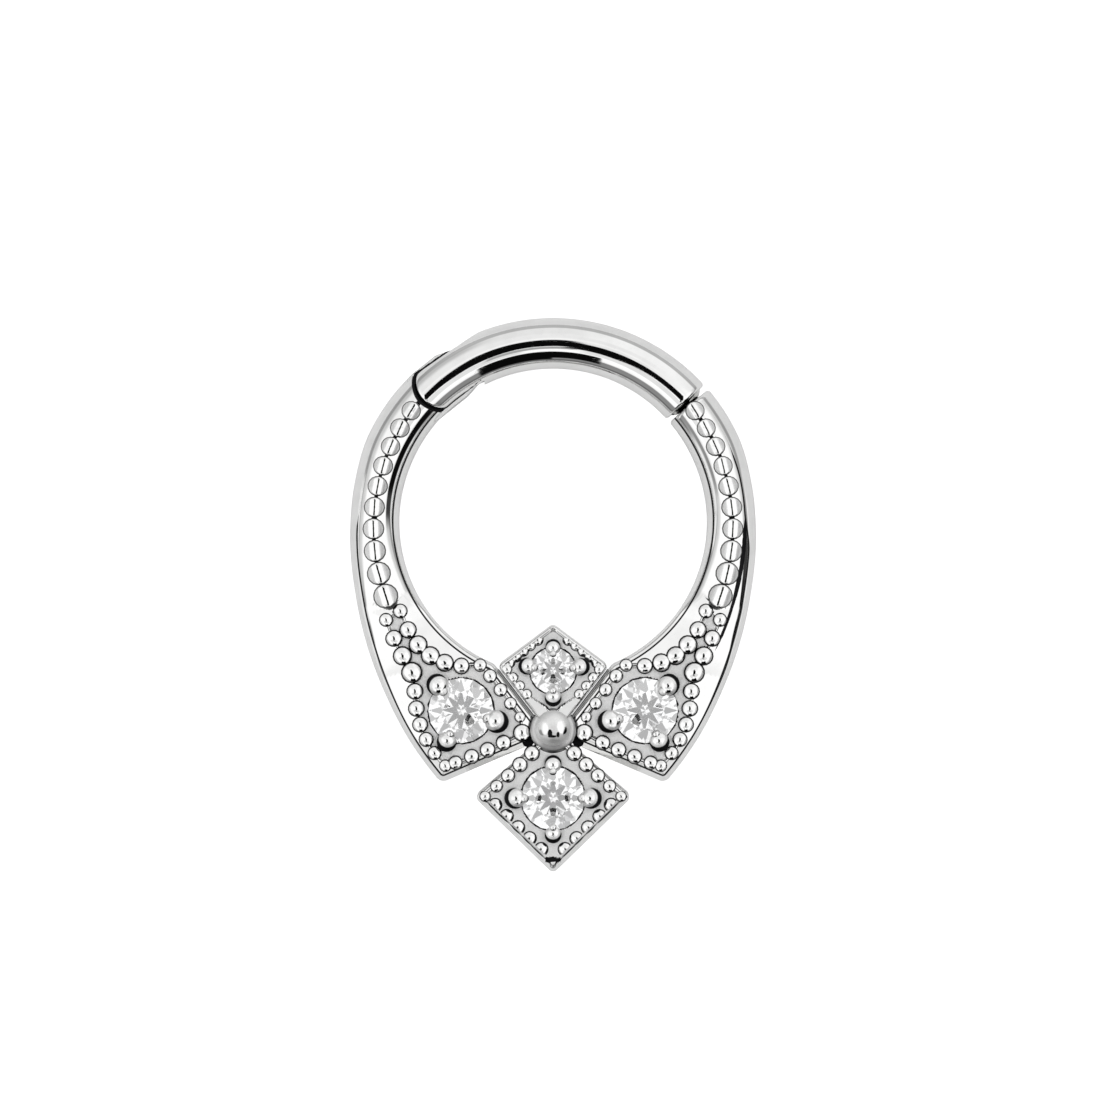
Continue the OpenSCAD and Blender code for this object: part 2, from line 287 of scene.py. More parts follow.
def stitch(upper, lower, points, across):
    """Triangles that close the end of a section between its upper and lower chain."""
    place = points @ across
    faces, i, k = [], 0, 0
    while i < len(upper) - 1 or k < len(lower) - 1:
        step_up = k == len(lower) - 1 or (
            i < len(upper) - 1 and place[upper[i + 1]] <= place[lower[k + 1]])
        if step_up:
            face = [upper[i], upper[i + 1], lower[k]]
            i += 1
        else:
            face = [upper[i], lower[k + 1], lower[k]]
            k += 1
        if len(set(face)) == 3:
            faces.append(face)
    return faces


def outward(mesh, merge=1e-6):
    """Merges points closer than a distance and turns every face outwards."""
    work = bmesh.new()
    work.from_mesh(mesh)
    bmesh.ops.remove_doubles(work, verts=work.verts, dist=merge)
    bmesh.ops.recalc_face_normals(work, faces=work.faces)
    work.to_mesh(mesh)
    work.free()


def cut(obj, *cutters):
    """Takes closed solids away from an object, and closes the slits of no width that this leaves.

    The slits stay open until the last cut, because the exact cut fails on a mesh merged before it.
    """
    slit = 0.0005
    outward(obj.data)
    for index, part in enumerate(cutters):
        cutter = new_object(f"{obj.name}_cutter_{index}", *part)
        outward(cutter.data)
        modifier = obj.modifiers.new("Cut", "BOOLEAN")
        modifier.operation = "DIFFERENCE"
        modifier.solver = "EXACT"
        modifier.use_hole_tolerant = True
        modifier.object = cutter
        bake(obj)
        bpy.data.objects.remove(cutter)
    outward(obj.data, slit)


def bake(obj):
    """Makes the modifiers' result the object's own mesh."""
    bpy.context.view_layer.update()
    graph = bpy.context.evaluated_depsgraph_get()
    mesh = bpy.data.meshes.new_from_object(obj.evaluated_get(graph), depsgraph=graph)
    obj.modifiers.clear()
    obj.data = mesh


def coordinates(mesh):
    flat = np.empty(len(mesh.vertices) * 3)
    mesh.vertices.foreach_get("co", flat)
    return flat.reshape(-1, 3)


def finish_piece(obj, masks, material=STEEL, body="ring", node="ring_body", sharp=40.0):
    """Shades a piece, stores its masks, moves it to the row frame, hangs it on its body and hides its CAD
    node.
    """
    mesh = obj.data
    for name, mask in masks.items():
        layer = mesh.attributes.new(name, "FLOAT", "POINT")
        layer.data.foreach_set("value", mask(coordinates(mesh)).astype(np.float32))
    mesh.transform(Matrix.Translation((0, CENTRE_Y * MM, 0)) @ Matrix.Scale(MM, 4))
    mesh.shade_smooth()
    mesh.set_sharp_from_angle(angle=math.radians(sharp))
    mesh.materials.clear()
    mesh.materials.append(bpy.data.materials[material])
    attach(obj, body)
    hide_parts(node)


# Shapes


def inner_r(angles):
    """Radius of the band's inner side at each angle on the left."""
    near_hinge, lower_down = 4.01, 4.03
    return mix(near_hinge, lower_down, smooth(150, 186, angles))


def outer_r(angles):
    """Radius of the round arms' outer side at each angle on the left."""
    return mix(END_R, BAND_R, smooth(154, 170, angles))


def rails():
    """The band's inner and outer rail from hinge to centre, and each point's share of roundness."""
    ends, flanks, corner, shield = 34, 80, 10, 64
    flank_r, flank_end_a, hollow_depth = 9.85, 219.8, 0.03
    inner_corner_r, outer_corner_r = 0.3, 0.24
    groove_w, groove_l = 0.06, 1.75
    shield_slope, shield_l = 23.3, 1.853
    along = unit(UPPER_TIPS[2] - UPPER_TIPS[1])
    groove_top = UPPER_TIPS[1] + np.array([along[1], -along[0]]) * groove_w
    groove_end = groove_top + along * groove_l
    meet_a = 179 + math.degrees(math.atan(groove_top[1] / groove_top[0]))
    meet = polar(inner_r(meet_a), meet_a)
    slope = -polar(1, shield_slope)
    edge, notch_l = np.array([-1.211, -6.081]), 0.5
    notch, tip = edge - slope * notch_l, edge + slope * shield_l
    centre = (BAND_R - flank_r) * polar(1, FLANK_A)
    start_a = PIN_A + 1

    t = np.arange(ends) / ends
    angles = mix(start_a, FLANK_A, t)
    first_inner, first_outer = polar(inner_r(angles), angles), polar(outer_r(angles), angles)
    t = np.arange(flanks) / flanks
    angles = mix(FLANK_A, meet_a - 3, t)
    flank_inner = polar(inner_r(angles), angles)
    angles = mix(FLANK_A, flank_end_a, t)
    hollow = hollow_depth * smooth(180, 190, angles) * smooth(214, 203, angles)
    flank_outer = centre + polar(flank_r - hollow, angles)
    inner_corner = rounded(polar(inner_r(meet_a), meet_a - 3), meet, groove_end, inner_corner_r,
        corner)
    outer_corner = rounded(centre + polar(flank_r, flank_end_a), tip, notch, outer_corner_r, corner)
    t = (np.arange(shield) + 1)[:, None] / shield
    inner = np.concatenate([first_inner, flank_inner, inner_corner, mix(inner_corner[-1], groove_end, t)])
    outer = np.concatenate([first_outer, flank_outer, outer_corner, mix(outer_corner[-1], notch, t)])
    return inner, outer, ends


def rail_sides(rail):
    """Direction across the band at each point of a rail."""
    ahead = np.concatenate([rail[1:], rail[-1:]])
    behind = np.concatenate([rail[:1], rail[:-1]])
    along = unit(ahead - behind)
    return np.column_stack([along[:, 1], -along[:, 0]])


def roundness(points):
    """How round the band's section is at each point: a round wire on the arms, domed lower down."""
    round_until, domed_from = 168, 202
    return 1 - smooth(round_until, domed_from, bearing(left(points)))


def rail_distance(points):
    """Distance from the band's edge, shifted so that the painted shade line near the edge follows both edges.

    Up the arms the outer line narrows to nothing, which a steeper distance does.
    """
    inner, outer, _ = rails()
    flat = left(points)
    angles = bearing(flat)
    right = points[:, 0] > 0
    shade_line = bpy.context.scene.ring.look.shade_line_at / MM
    on_right = 0.29 + 0.04 * smooth(168, 158, angles) - 0.095 * smooth(177, 189, angles)
    on_left = 0.27 - 0.075 * smooth(170, 184, angles)
    place = np.where(right, on_right, on_left) - 0.035 * smooth(215, 235, angles)
    start = np.where(right, 155, 176)
    steep = 1 + 60 * smooth(start + 7, start - 7, angles) ** 2
    beyond = shade_line + steep * (to_line(flat, outer) - place)
    return np.minimum(to_line(flat, inner) - 0.02 * roundness(flat), beyond)


def arm_shade(points):
    """Painted dark reflection, 1 on a line down the outer side of the right arm's beads, widest in its upper
    half.
    """
    flat = left(points)
    angles = bearing(flat)
    straight_r, bend_from, outwards = 5.005, 182, 0.00029
    wide, narrow = 0.066, 0.048
    path = straight_r + outwards * np.maximum(angles - bend_from, 0) ** 2
    width = mix(wide, narrow, smooth(198, 206, angles))
    width = width * smooth(175, 185, angles) * smooth(221, 213, angles)
    away = np.abs(span(flat) - path)
    right = (points[:, 0] > 0) * (points[:, 2] > MID_Z) * (width > 0.004)
    return right * smooth(0.012, -0.008, away - width)


def near_seat(points, stone):
    """Painted shade, 1 round the lip of a stone's seat, which stays dark."""
    centre, r, face, _ = stone
    wall, dark = 0.035, 0.03
    away = span(left(points) - centre)
    return smooth(r + wall + dark, r + wall, away) * (points[:, 2] > face - 0.16)


def field_outline():
    """The satin field of the left shield: the loop through its bead rows."""
    outer, lower, inner, groove, ball, bottom = [row_points(row, 9)[0] for row in SHIELD_ROWS]
    return np.concatenate([inner, groove, ball, bottom, lower[::-1], outer[::-1]])


def shield_field(points, soft):
    """How far each point belongs to the satin field, and its distance outside the beads' lines."""
    outline = field_outline()
    closed = np.concatenate([outline, outline[:1]])
    flat = left(points)
    away = to_line(flat, closed)
    within = inside(flat, outline)
    strand = strand_points(24, -0.12)[0]
    outside = np.where(within, 0, np.minimum(away, to_line(flat, strand)))
    signed = np.where(within, away, -away)
    return smooth(-soft, soft, signed - 0.02), outside


class Section:
    """The band's closed section, as columns that run up its inside, over its top and back below."""

    def __init__(self, sizes):
        self.sizes = sizes
        self.top, self.under = 88, 6
        side = [("bevel_in", 0), ("wall", 0), ("wall", 1)]
        near, far = ([("roll", k / steps) for k in range(steps + 1)] for steps in (12, 36))
        up = [("in", *c) for c in side + near]
        over = [("top", "", (k + 1) / (self.top + 1)) for k in range(self.top)]
        down = [("out", *c) for c in (side + far)[::-1]]
        back = [("under", "", (k + 1) / (self.under + 1)) for k in range(self.under)]
        self.columns = up + over + down + back
        self.upper = list(range(2, len(up + over + down) - 2))
        under = list(range(len(up + over + down) - 3, len(self.columns))) + [0, 1, 2]
        self.lower = under[::-1]

    def points(self, inner, outer, inner_side, outer_side, share, bevelled=0.0):
        """One row of the loft, from rail points and roundness given for each column."""
        bevel_w, bevel_h = 0.24, 0.232
        s = self.sizes
        bevel = mix(0.1, 0.3, share)
        corner = smooth(205, 216, bearing(inner))
        half = span(outer - inner) / 2 - 0.01
        rolls = {
            "in": (mix(mix(s.edge_w / MM, 0.09, corner), half, share),
                mix(mix(s.edge_h / MM, 0.14, corner), MID_Z, share)),
            "out": (mix(mix(s.edge_w / MM, 0.2, corner), half, share), mix(s.edge_h / MM, MID_Z, share))}
        out = np.empty((len(self.columns), 3))
        for c, (part, kind, value) in enumerate(self.columns):
            b = bevel[c]
            if part == "top":
                in_w, out_w = rolls["in"][0][c], mix(rolls["out"][0][c], bevel_w, bevelled)
                flat = mix(inner[c] + inner_side[c] * in_w, outer[c] + outer_side[c] * out_w, value)
                out[c] = [*flat, BAND_H]
                continue
            if part == "under":
                flat = mix(outer[c] + outer_side[c] * b, inner[c] + inner_side[c] * b, value)
                out[c] = [*flat, 0]
                continue
            w, h = rolls[part][0][c], rolls[part][1][c]
            if kind == "bevel_in":
                offset, z = b, 0
            elif kind == "wall":
                offset, z = 0, (b, (b + BAND_H - h) / 2)[int(value)]
            else:
                a = math.pi / 2 * value
                offset, z = w * (1 - math.cos(a)), BAND_H - h * (1 - math.sin(a))
                if part == "out":
                    offset = mix(offset, bevel_w * value, bevelled)
                    z = mix(z, BAND_H - bevel_h * (1 - value), bevelled)
            rail, side = (inner, inner_side) if part == "in" else (outer, outer_side)
            out[c] = [*(rail[c] + side[c] * offset), z]
        return out


def band_half(sizes, is_left):
    """The cast band and shield of one side, drawn on the left."""
    section = Section(sizes)
    count = len(section.columns)
    inner, outer, ends = rails()
    inner_side, outer_side = rail_sides(inner), -rail_sides(outer)
    socket_r, ease = 0.74, 0.05 if is_left else 0.1
    flank_rows = ends + 80
    rows = []

    def round_row(angles):
        radial = polar(1, angles)
        near, far = radial * inner_r(angles)[:, None], radial * outer_r(angles)[:, None]
        return section.points(near, far, radial, -radial, roundness(radial))

    def start_angles(distance):
        """Where each column leaves the hinge's socket, or the split."""
        if not is_left:
            gap = 180 - (SPLIT_A - SPLIT_W / 2)
            return np.full(count, gap + math.degrees((distance - socket_r) / MID_R))
        angles = np.full(count, PIN_A + 8.0)
        for _ in range(4):
            angles = hinge_angle(span(round_row(angles)[:, :2]), distance)
        return angles

    middle = np.array([MID_R, MID_Z])
    for theta in EASE:
        angles = start_angles(socket_r + ease * (1 - math.sin(theta)))
        row = round_row(angles)
        m = span(row[:, :2])
        flat = np.column_stack([m, row[:, 2]])
        inward = unit(middle - flat)
        flat = flat + inward * ease * (1 - math.cos(theta))
        rows.append(np.column_stack([polar(flat[:, 0], angles), flat[:, 1]]))
    for t in [0.006, 0.012, 0.018, 0.024, *((np.arange(ends - 1) + 1) / ends)]:
        rows.append(round_row(mix(angles, FLANK_A, t)))
    for i in range(ends, len(inner)):
        here = [np.tile(v[i], (count, 1)) for v in (inner, outer, inner_side, outer_side)]
        bevelled = smooth(flank_rows, flank_rows + 10, i)
        rows.append(section.points(*here, np.full(count, roundness(inner[i])), bevelled))
    grid = np.array(rows)

    flat = grid.reshape(-1, 3)
    field, outside = shield_field(flat[:, :2], 0.04)
    high = smooth(MID_Z, BAND_H, flat[:, 2])
    slope = sizes.crown * (1 - roundness(flat[:, :2])) * np.maximum(outside - 0.05, 0)
    flat[:, 2] -= high * (sizes.field_depth / MM * field + slope)
    faces = grid_faces(len(rows), count, True)
    across = polar(1, PIN_A + 5 if is_left else 139)
    base = (len(rows) - 1) * count
    faces += stitch(section.upper, section.lower, flat, np.array([*across, 0]))
    end_across = np.array([*unit(outer[-1] - inner[-1]), 0])
    last = [[base + k for k in chain] for chain in (section.upper, section.lower)]
    faces += stitch(last[0], last[1], flat, end_across)
    return flat, faces


def at_pin(x, y):
    """Hinge coordinates to plan: x points along the band, y to the ring's centre."""
    return PIN + np.multiply.outer(x, PIN_X) + np.multiply.outer(y, PIN_Y)


def from_pin(points):
    """Points in hinge coordinates, and their distances from the pin, in plan."""
    flat = points[:, :2] - PIN
    return flat @ PIN_X, flat @ PIN_Y, span(flat)


def hinge_angle(radius, distance):
    """Angle at which points at a radius from the opening's centre are this far from the pin."""
    cosine = (radius * radius + MID_R**2 - distance**2) / (2 * radius * MID_R)
    return PIN_A + np.degrees(np.arccos(np.clip(cosine, -1, 1)))


def tongue():
    """The band's hinge tongue, a flat plate round the pin that tapers towards the bar."""
    reach, out_side, in_side, half_t, soft = 1.04, 0.66, 0.7, 0.3, 0.03
    local = polar(reach, np.arange(0, 360, 3))
    taper = 0.36 * np.maximum(-0.3 - local[:, 0], 0)
    outline = at_pin(local[:, 0], np.clip(local[:, 1], -out_side + taper, in_side - 0.5 * taper))
    outline = outline * np.minimum(1, (END_R - 0.01) / span(outline))[:, None]
    away = span(outline - PIN)[:, None]
    low, high = MID_Z - half_t, MID_Z + half_t
    levels = [(soft, low), (0, low + soft), (0, high - soft)]
    levels += [(d, high) for d in np.arange(soft, 0.35, 0.02)]
    return loft([level(PIN + (outline - PIN) * (1 - d / away), z) for d, z in levels])


def hinge_shade(points):
    """1 on the tongue where the bar hides it from the light: along the bar and round its end."""
    x, y, away = from_pin(points)
    beside = smooth(-0.63, -0.61, y + 0.07 * x) * smooth(0.62, 0.6, y) * smooth(0.5, 0.46, x)
    ring = smooth(0.79, 0.77, away) * (x > 0.2) * (np.abs(y) < 0.6)
    return np.maximum(beside, ring) * (points[:, 2] > MID_Z)


def bar_line(points):
    """Painted shade, 1 on the fine dark line along the inner side of the bar's hinge end."""
    x, y, _ = from_pin(points)
    line_y, line_end = 0.585, -0.84
    near = smooth(0.032, 0.014, np.abs(y - line_y))
    return near * smooth(line_end - 0.06, line_end, x) * (points[:, 2] > MID_Z)


def socket_shade(points):
    """Painted shade, 1 on the band's lip round the bar's end, widest at the middle of the arm."""
    x, _, away = from_pin(points)
    narrow, wider = 0.755, 0.05
    rim = narrow + wider * np.clip(x / away, 0, 1)
    return smooth(rim + 0.02, rim, away)


def web():
    """The floor of the groove between the left shield and the upper kite."""
    along = unit(UPPER_TIPS[2] - UPPER_TIPS[1])
    side = np.array([along[1], -along[0]])
    start = UPPER_TIPS[1] + side * 0.07
    half, near, far = 0.03, 0.1, 1.66
    places = ((near, -half), (far, -half), (far, half), (near, half))
    corners = np.array([start + along * a + side * b for a, b in places])
    low, high = 0.1, 1.3
    return loft([level(corners, low), level(corners, high)])


def seat(stone):
    """The space that a stone's seat and light hole take out of the metal."""
    centre, r, face, _ = stone
    girdle, depth = face + GIRDLE_LIFT, 0.84 * r
    light, wall, under, over = 0.45 * r, r + 0.035, -1, 3
    profile = [(0, under), (light, under), (light, girdle - depth * (1 - light / r) - 0.03),
        (wall, girdle - 0.06), (wall, over), (0, over)]
    return lathe(profile, centre, 72)


def kite_outline(tips):
    """A kite with rounded corners, as an even loop of points."""
    radius, corner, straight = 0.15, 8, 34
    out = []
    for i in range(4):
        arc = rounded(tips[i - 1], tips[i], tips[(i + 1) % 4], radius, corner)
        following = rounded(tips[i], tips[(i + 1) % 4], tips[(i + 2) % 4], radius, corner)
        t = np.linspace(0, 1, straight + 1)[1:-1, None]
        out += [arc, mix(arc[-1], following[0], t)]
    return np.concatenate(out)


def kite_centre(tips):
    """Centre of the circle that touches a kite's four sides, and its radius."""
    side, near = span(tips[1] - tips[0]), span(tips[2] - tips[1])
    centre = mix(tips[0], tips[2], side / (side + near))
    u = unit(tips[1] - tips[0])
    v = centre - tips[0]
    return centre, abs(u[0] * v[1] - u[1] * v[0])


def kite(tips, face, edge, rim, depth, slant):
    """A kite-shaped plate: rolled edge, polished rim and a sunk field. Slant bevels its lower rim."""
    centre, reach = kite_centre(tips)
    outline = kite_outline(tips)
    bevel, roll = 0.1, 8
    levels = [(bevel, 0), (0, bevel), (0, 0.7)]
    for k in range(roll + 1):
        a = math.pi / 2 * k / roll
        levels.append((edge[0] * (1 - math.cos(a)), face - edge[1] * (1 - math.sin(a))))
    levels += [(d, face) for d in np.arange(edge[0] + 0.025, reach * 0.92, 0.025)]
    loops = []
    for index, (d, z) in enumerate(levels):
        flat = centre + (outline - centre) * (1 - d / reach)
        height = np.full(len(flat), float(z))
        if index > 2:
            height = rim_height(flat, tips, rim, face, z, slant) - depth * kite_field(flat, tips, rim)
        loops.append(np.column_stack([flat, height]))
    n = len(outline)
    points = np.concatenate(loops + [[[*centre, face - depth]], [[*centre, 0]]])
    top, under = len(points) - 2, len(points) - 1
    last = (len(loops) - 1) * n
    faces = grid_faces(len(loops), n, True)
    return points, faces + fan(last, n, top) + fan(0, n, under, True)


def lower_side(flat, tips):
    """1 on the kite's lower sides, 0 on its upper sides."""
    return smooth(tips[1][1] + 0.08, tips[1][1] - 0.08, flat[:, 1])


def past_rim(flat, tips, rim):
    """How far inside the rim each point is; rim gives its width on top, below, and more at the foot."""
    edge = to_line(flat, np.concatenate([tips, tips[:1]]))
    side = tips[1][1]
    foot = rim[2] * smooth(side - FOOT_FROM, side - FOOT_FROM - 0.5, flat[:, 1])
    return edge - mix(rim[0], rim[1], lower_side(flat, tips)) - foot


def rim_line(points, tips, rim):
    """Painted shade, 1 on a fine line inside the rims of the upper kite's foot and the lower kite's lower
    sides.
    """
    flat = points[:, :2]
    near = smooth(0.034, 0.014, np.abs(past_rim(flat, tips, rim)))
    below = tips[1][1] - (FOOT_FROM if rim[2] else 0.1)
    return near * smooth(below + 0.1, below, flat[:, 1])


def kite_field(flat, tips, rim):
    """How far each point belongs to the kite's satin field."""
    return smooth(-0.02, 0.02, past_rim(flat, tips, rim))


def rim_height(flat, tips, rim, face, z, slant):
    """Height of the rim, which falls gently to the edge, or steeply where the lower sides slant."""
    fall, steep_fall = 0.17, 0.965
    out = np.maximum(-past_rim(flat, tips, rim), 0)
    gentle = z - (fall * out if z == face else 0)
    return mix(gentle, face - steep_fall * out, slant * lower_side(flat, tips))


def corner_shade(points):
    """Painted shade, 1 in the dark corner at the lower tip of the lower kite's field."""
    x, y = np.abs(points[:, 0]), points[:, 1]
    return smooth(0.25, 0.2, x) * smooth(-8.69, -8.72, y) * smooth(-8.9, -8.87, y) * (points[:, 2] > 1.3)


def spots(points, *ovals):
    """How far each point is from the nearest of some ovals round the hub; 1 is on an oval's outline."""
    flat = points[:, :2] - HUB
    best = np.full(len(points), 9.0)
    for x, y, w, h, turn in ovals:
        u, v = flat[:, 0] - x, flat[:, 1] - y
        along = u * math.cos(turn) + v * math.sin(turn)
        best = np.minimum(best, np.hypot(along / w, (v * math.cos(turn) - u * math.sin(turn)) / h))
    return best


def ball_satin(points):
    """The ball's soft grey, with a bright polished patch on either side."""
    grey = 0.5 * spots(points, (-0.265, 0.04, 0.13, 0.17, -0.05), (0.235, 0.075, 0.115, 0.18, 0.35))
    return np.where(points[:, 2] > 1.6, np.clip(grey, 0, 1), 1.0)


def ball_shade(points):
    """The dark reflection low on the ball, and the collar's shaded side and foot."""
    flat = points[:, :2] - HUB
    dark = 1.92 - spots(points, (-0.08, -0.08, 0.06, 0.11, 0), (-0.02, -0.155, 0.12, 0.035, 0.05),
        (0.13, -0.11, 0.045, 0.075, 0))
    below = smooth(-0.28, -0.46, flat[:, 1]) * smooth(0.52, 0.3, np.abs(flat[:, 0]))
    foot = smooth(0.565, 0.6, span(flat))
    return np.where(points[:, 2] > 1.6, np.clip(dark, 0, 1), np.maximum(mix(0.905, 0.925, below), foot))


def slot_shade(points):
    """Painted shade, 1 in the dark corners where the slots end beside the ball."""
    away = span(left(points) - SLOT_END)
    return smooth(0.15, 0.1, away)


def bar():
    """The round bar with its rounded hinge end, the flat beside the hinge and the latch nub."""
    r, ease, split_ease, knuckle, swollen = 0.65, 0.05, 0.085, 0.68, 1.05
    columns = 96
    turn = np.arange(columns) * 360 / columns
    start = SPLIT_A + SPLIT_W / 2
    rows = []

    def row(angles, radius):
        ring = polar(radius, turn)
        ring[:, 0] *= np.where(ring[:, 0] > 0, swollen, 1)
        return np.column_stack([polar(MID_R + ring[:, 0], angles), MID_Z + ring[:, 1]])

    def hinge_angles(radius, distance):
        return hinge_angle(MID_R + radius * np.cos(np.radians(turn)), distance)

    nub_r, nub_sunk, nub_top, nub_edge = 0.72, 0.52, 0.2, 0.495
    cap = [0.04, 0.15, 0.27, 0.37, 0.44, nub_edge, 0.51, 0.56]
    for radius in cap:
        stand = max(0, math.sqrt(nub_r**2 - radius**2) - nub_sunk)
        rows.append(row(np.full(columns, start - math.degrees(stand / MID_R)), radius))
    for theta in EASE:
        angle = start + math.degrees(split_ease * (1 - math.sin(theta)) / MID_R)
        rows.append(row(np.full(columns, angle), r - split_ease * (1 - math.cos(theta))))
    final = hinge_angles(r, knuckle - ease)
    body = 130
    for t in (np.arange(body) + 1) / (body + 1):
        rows.append(row(mix(np.full(columns, angle), final, t), r))
    for theta in EASE[::-1]:
        radius = r - ease * (1 - math.cos(theta))
        rows.append(row(hinge_angles(radius, knuckle - ease + ease * math.sin(theta)), radius))
    points = np.concatenate(rows + [[[*polar(MID_R, start - math.degrees(nub_top / MID_R)), MID_Z]]])
    faces = grid_faces(len(rows), columns, True)
    pole = len(points) - 1
    faces += [[pole, j, (j + 1) % columns] for j in range(columns)]
    base = (len(rows) - 1) * columns
    for j in range(columns // 2):
        face = [base + j, base + j + 1, base + (columns - j - 1) % columns, base + (columns - j) % columns]
        faces.append(list(dict.fromkeys(face)))

    slant, flat_out, flat_l, soft = math.radians(4), 0.565, 1.75, 0.015
    x, y, _ = from_pin(points)
    x_turned = x * math.cos(slant) - y * math.sin(slant)
    y_turned = x * math.sin(slant) + y * math.cos(slant)
    over = -flat_out - y_turned
    moved = np.where(x_turned > -flat_l, (over + np.sqrt(over * over + soft * soft)) / 2, 0)
    moved = np.where(moved > 0.004, moved, 0)
    points[:, :2] += np.outer(moved, math.sin(slant) * PIN_X + math.cos(slant) * PIN_Y)
    return points, faces


def disc(radius, low, high, centre, segments):
    """An upright cylinder."""
    return lathe([(0, low), (radius, low), (radius, high), (0, high)], centre, segments)


def latch_dimple():
    """The space of the dimple that the latch nub rests in."""
    r, sunk, side = 0.75, 0.52, SPLIT_A + SPLIT_W / 2
    middle = polar(MID_R, side) + polar(1, side + 90) * sunk
    steps = np.radians(np.linspace(-90, 90, 33))
    profile = [(r * math.cos(a), MID_Z + r * math.sin(a)) for a in steps]
    profile[0], profile[-1] = (0, MID_Z - r), (0, MID_Z + r)
    return lathe(profile, middle, 64)


def dome(centre, base, height, radius, arch, lean, skirt=0.3, sides=28, rows=9):
    """A round cap on a short post, leaning by a vector; arch is the sine of its slope at the border."""
    rings = []
    turn = np.arange(sides) * 360 / sides
    for reach in np.sin(np.radians(90 * (np.arange(rows) + 1) / rows)):
        drop = radius * (1 - math.sqrt(1 - (arch * reach) ** 2)) / arch
        rings.append((reach * radius, height - drop))
    rings.append((radius, -skirt))
    points = []
    for r, z in rings:
        flat = np.asarray(centre, float) + polar(r, turn) + np.asarray(lean) * max(z, 0) / height
        points.append(level(flat, base + z))
    points.append([[*(np.asarray(centre, float) + lean), base + height], [*centre, base - skirt]])
    faces = grid_faces(len(rings), sides, True)
    pole, foot, last = len(rings) * sides, len(rings) * sides + 1, (len(rings) - 1) * sides
    return np.concatenate(points), faces + fan(0, sides, pole) + fan(last, sides, foot, True)


def claw(centre, radius, face, angle, past, body_r):
    """One claw: a stout round head that leans over the stone, with a small toe on the crown."""
    out = polar(1, angle)
    place = centre + out * (radius + past)
    sunk, head_h, head_arch, head_lean = 0.08, 0.75 * body_r + 0.13, 0.72, -0.26 * body_r * out
    toe_h, toe_r, toe_arch = 0.24, 0.45 * body_r, 0.8
    head = dome(place, face - sunk, head_h, body_r, head_arch, head_lean)
    toe = dome(place - out * 0.95 * body_r, face, toe_h, toe_r, toe_arch, -0.2 * toe_r * out, 0.0)
    return join(head, toe)


def even(value):
    """A mask that is the same all over a piece."""
    return lambda points: np.full(len(points), value)


def claw_shade(points):
    """Distance from each claw's bright side in body radii, which faces the stone; far from it the claws get
    painted shade.
    """
    best = np.full(len(points), 9.0)
    for stone in (SIDE, LOWER, UPPER):
        centre, radius, _, claws = stone
        flat = left(points) if stone is SIDE else points[:, :2]
        for angle, past, body_r in claws:
            bright = np.array(centre) + polar(radius + past - 0.45 * body_r, angle) + [0, 0.1 * body_r]
            best = np.minimum(best, span(flat - bright) / body_r)
    return best


def claws_of(stone, sides=(1,)):
    """A stone's claws, on the given sides of the middle."""
    centre, radius, face, claws = stone
    made = [claw(np.array(centre, float), radius, face, *one) for one in claws]
    return join(*(mirrored(m) if s < 0 else m for s in sides for m in made))


def bead_cloud(name, rows):
    """A mesh of points, one a bead, that says each bead's radius and heading."""
    places, sizes, headings = [], [], []
    for points, radii, lift in rows:
        along = np.gradient(points, axis=0) if len(points) > 1 else np.array([[0.0, 1.0]])
        for side in (1, -1):
            places.append(level(points * [side, 1], lift))
            sizes.append(radii)
            headings.append(np.arctan2(along[:, 1], along[:, 0] * side) - math.pi / 2 * side)
    obj = new_object(name, np.concatenate(places), [])
    for label, values in (("bead_radius", sizes), ("heading", headings)):
        layer = obj.data.attributes.new(label, "FLOAT", "POINT")
        layer.data.foreach_set("value", np.concatenate(values).astype(np.float32))
    return obj


# Node trees


class Tree:
    """Short calls that add nodes to a tree and link them."""

    def __init__(self, tree):
        self.tree = tree

    def add(self, kind, inputs=None, **settings):
        node = self.tree.nodes.new(kind)
        for key, value in settings.items():
            setattr(node, key, value)
        for key, value in (inputs or {}).items():
            if isinstance(value, bpy.types.NodeSocket):
                self.tree.links.new(value, node.inputs[key])
            else:
                node.inputs[key].default_value = value
        return node

    def math(self, operation, *values):
        return self.add("ShaderNodeMath", dict(enumerate(values)), operation=operation).outputs[0]

    def times(self, a, b):
        return self.math("MULTIPLY", a, b)

    def plus(self, a, b):
        return self.math("ADD", a, b)

    def minus(self, a, b):
        return self.math("SUBTRACT", a, b)

    def vector(self, **parts):
        return self.add("ShaderNodeCombineXYZ", {k.upper(): v for k, v in parts.items()}).outputs[0]

    def attribute(self, name):
        return self.add("ShaderNodeAttribute", attribute_name=name).outputs["Fac"]

    def noise(self, place, scale, detail):
        return self.add("ShaderNodeTexNoise", {"Vector": place, "Scale": scale, "Detail": detail}).outputs[0]

    def step(self, value, low, high, to_low=0.0, to_high=1.0):
        node = self.add("ShaderNodeMapRange", {"Value": value, "From Min": low, "From Max": high,
            "To Min": to_low, "To Max": to_high}, interpolation_type="SMOOTHSTEP")
        return node.outputs[0]

    def window(self, value, low, high, soft):
        return self.times(self.step(value, low - soft, low + soft),
            self.step(value, high - soft, high + soft, 1.0, 0.0))

    def mix(self, share, a, b):
        node = self.add("ShaderNodeMix", {0: share, 6: a, 7: b}, data_type="RGBA")
        return node.outputs[2]

    def blend(self, share, a, b):
        node = self.add("ShaderNodeMix", {0: share, 2: a, 3: b}, data_type="FLOAT")
        return node.outputs[0]


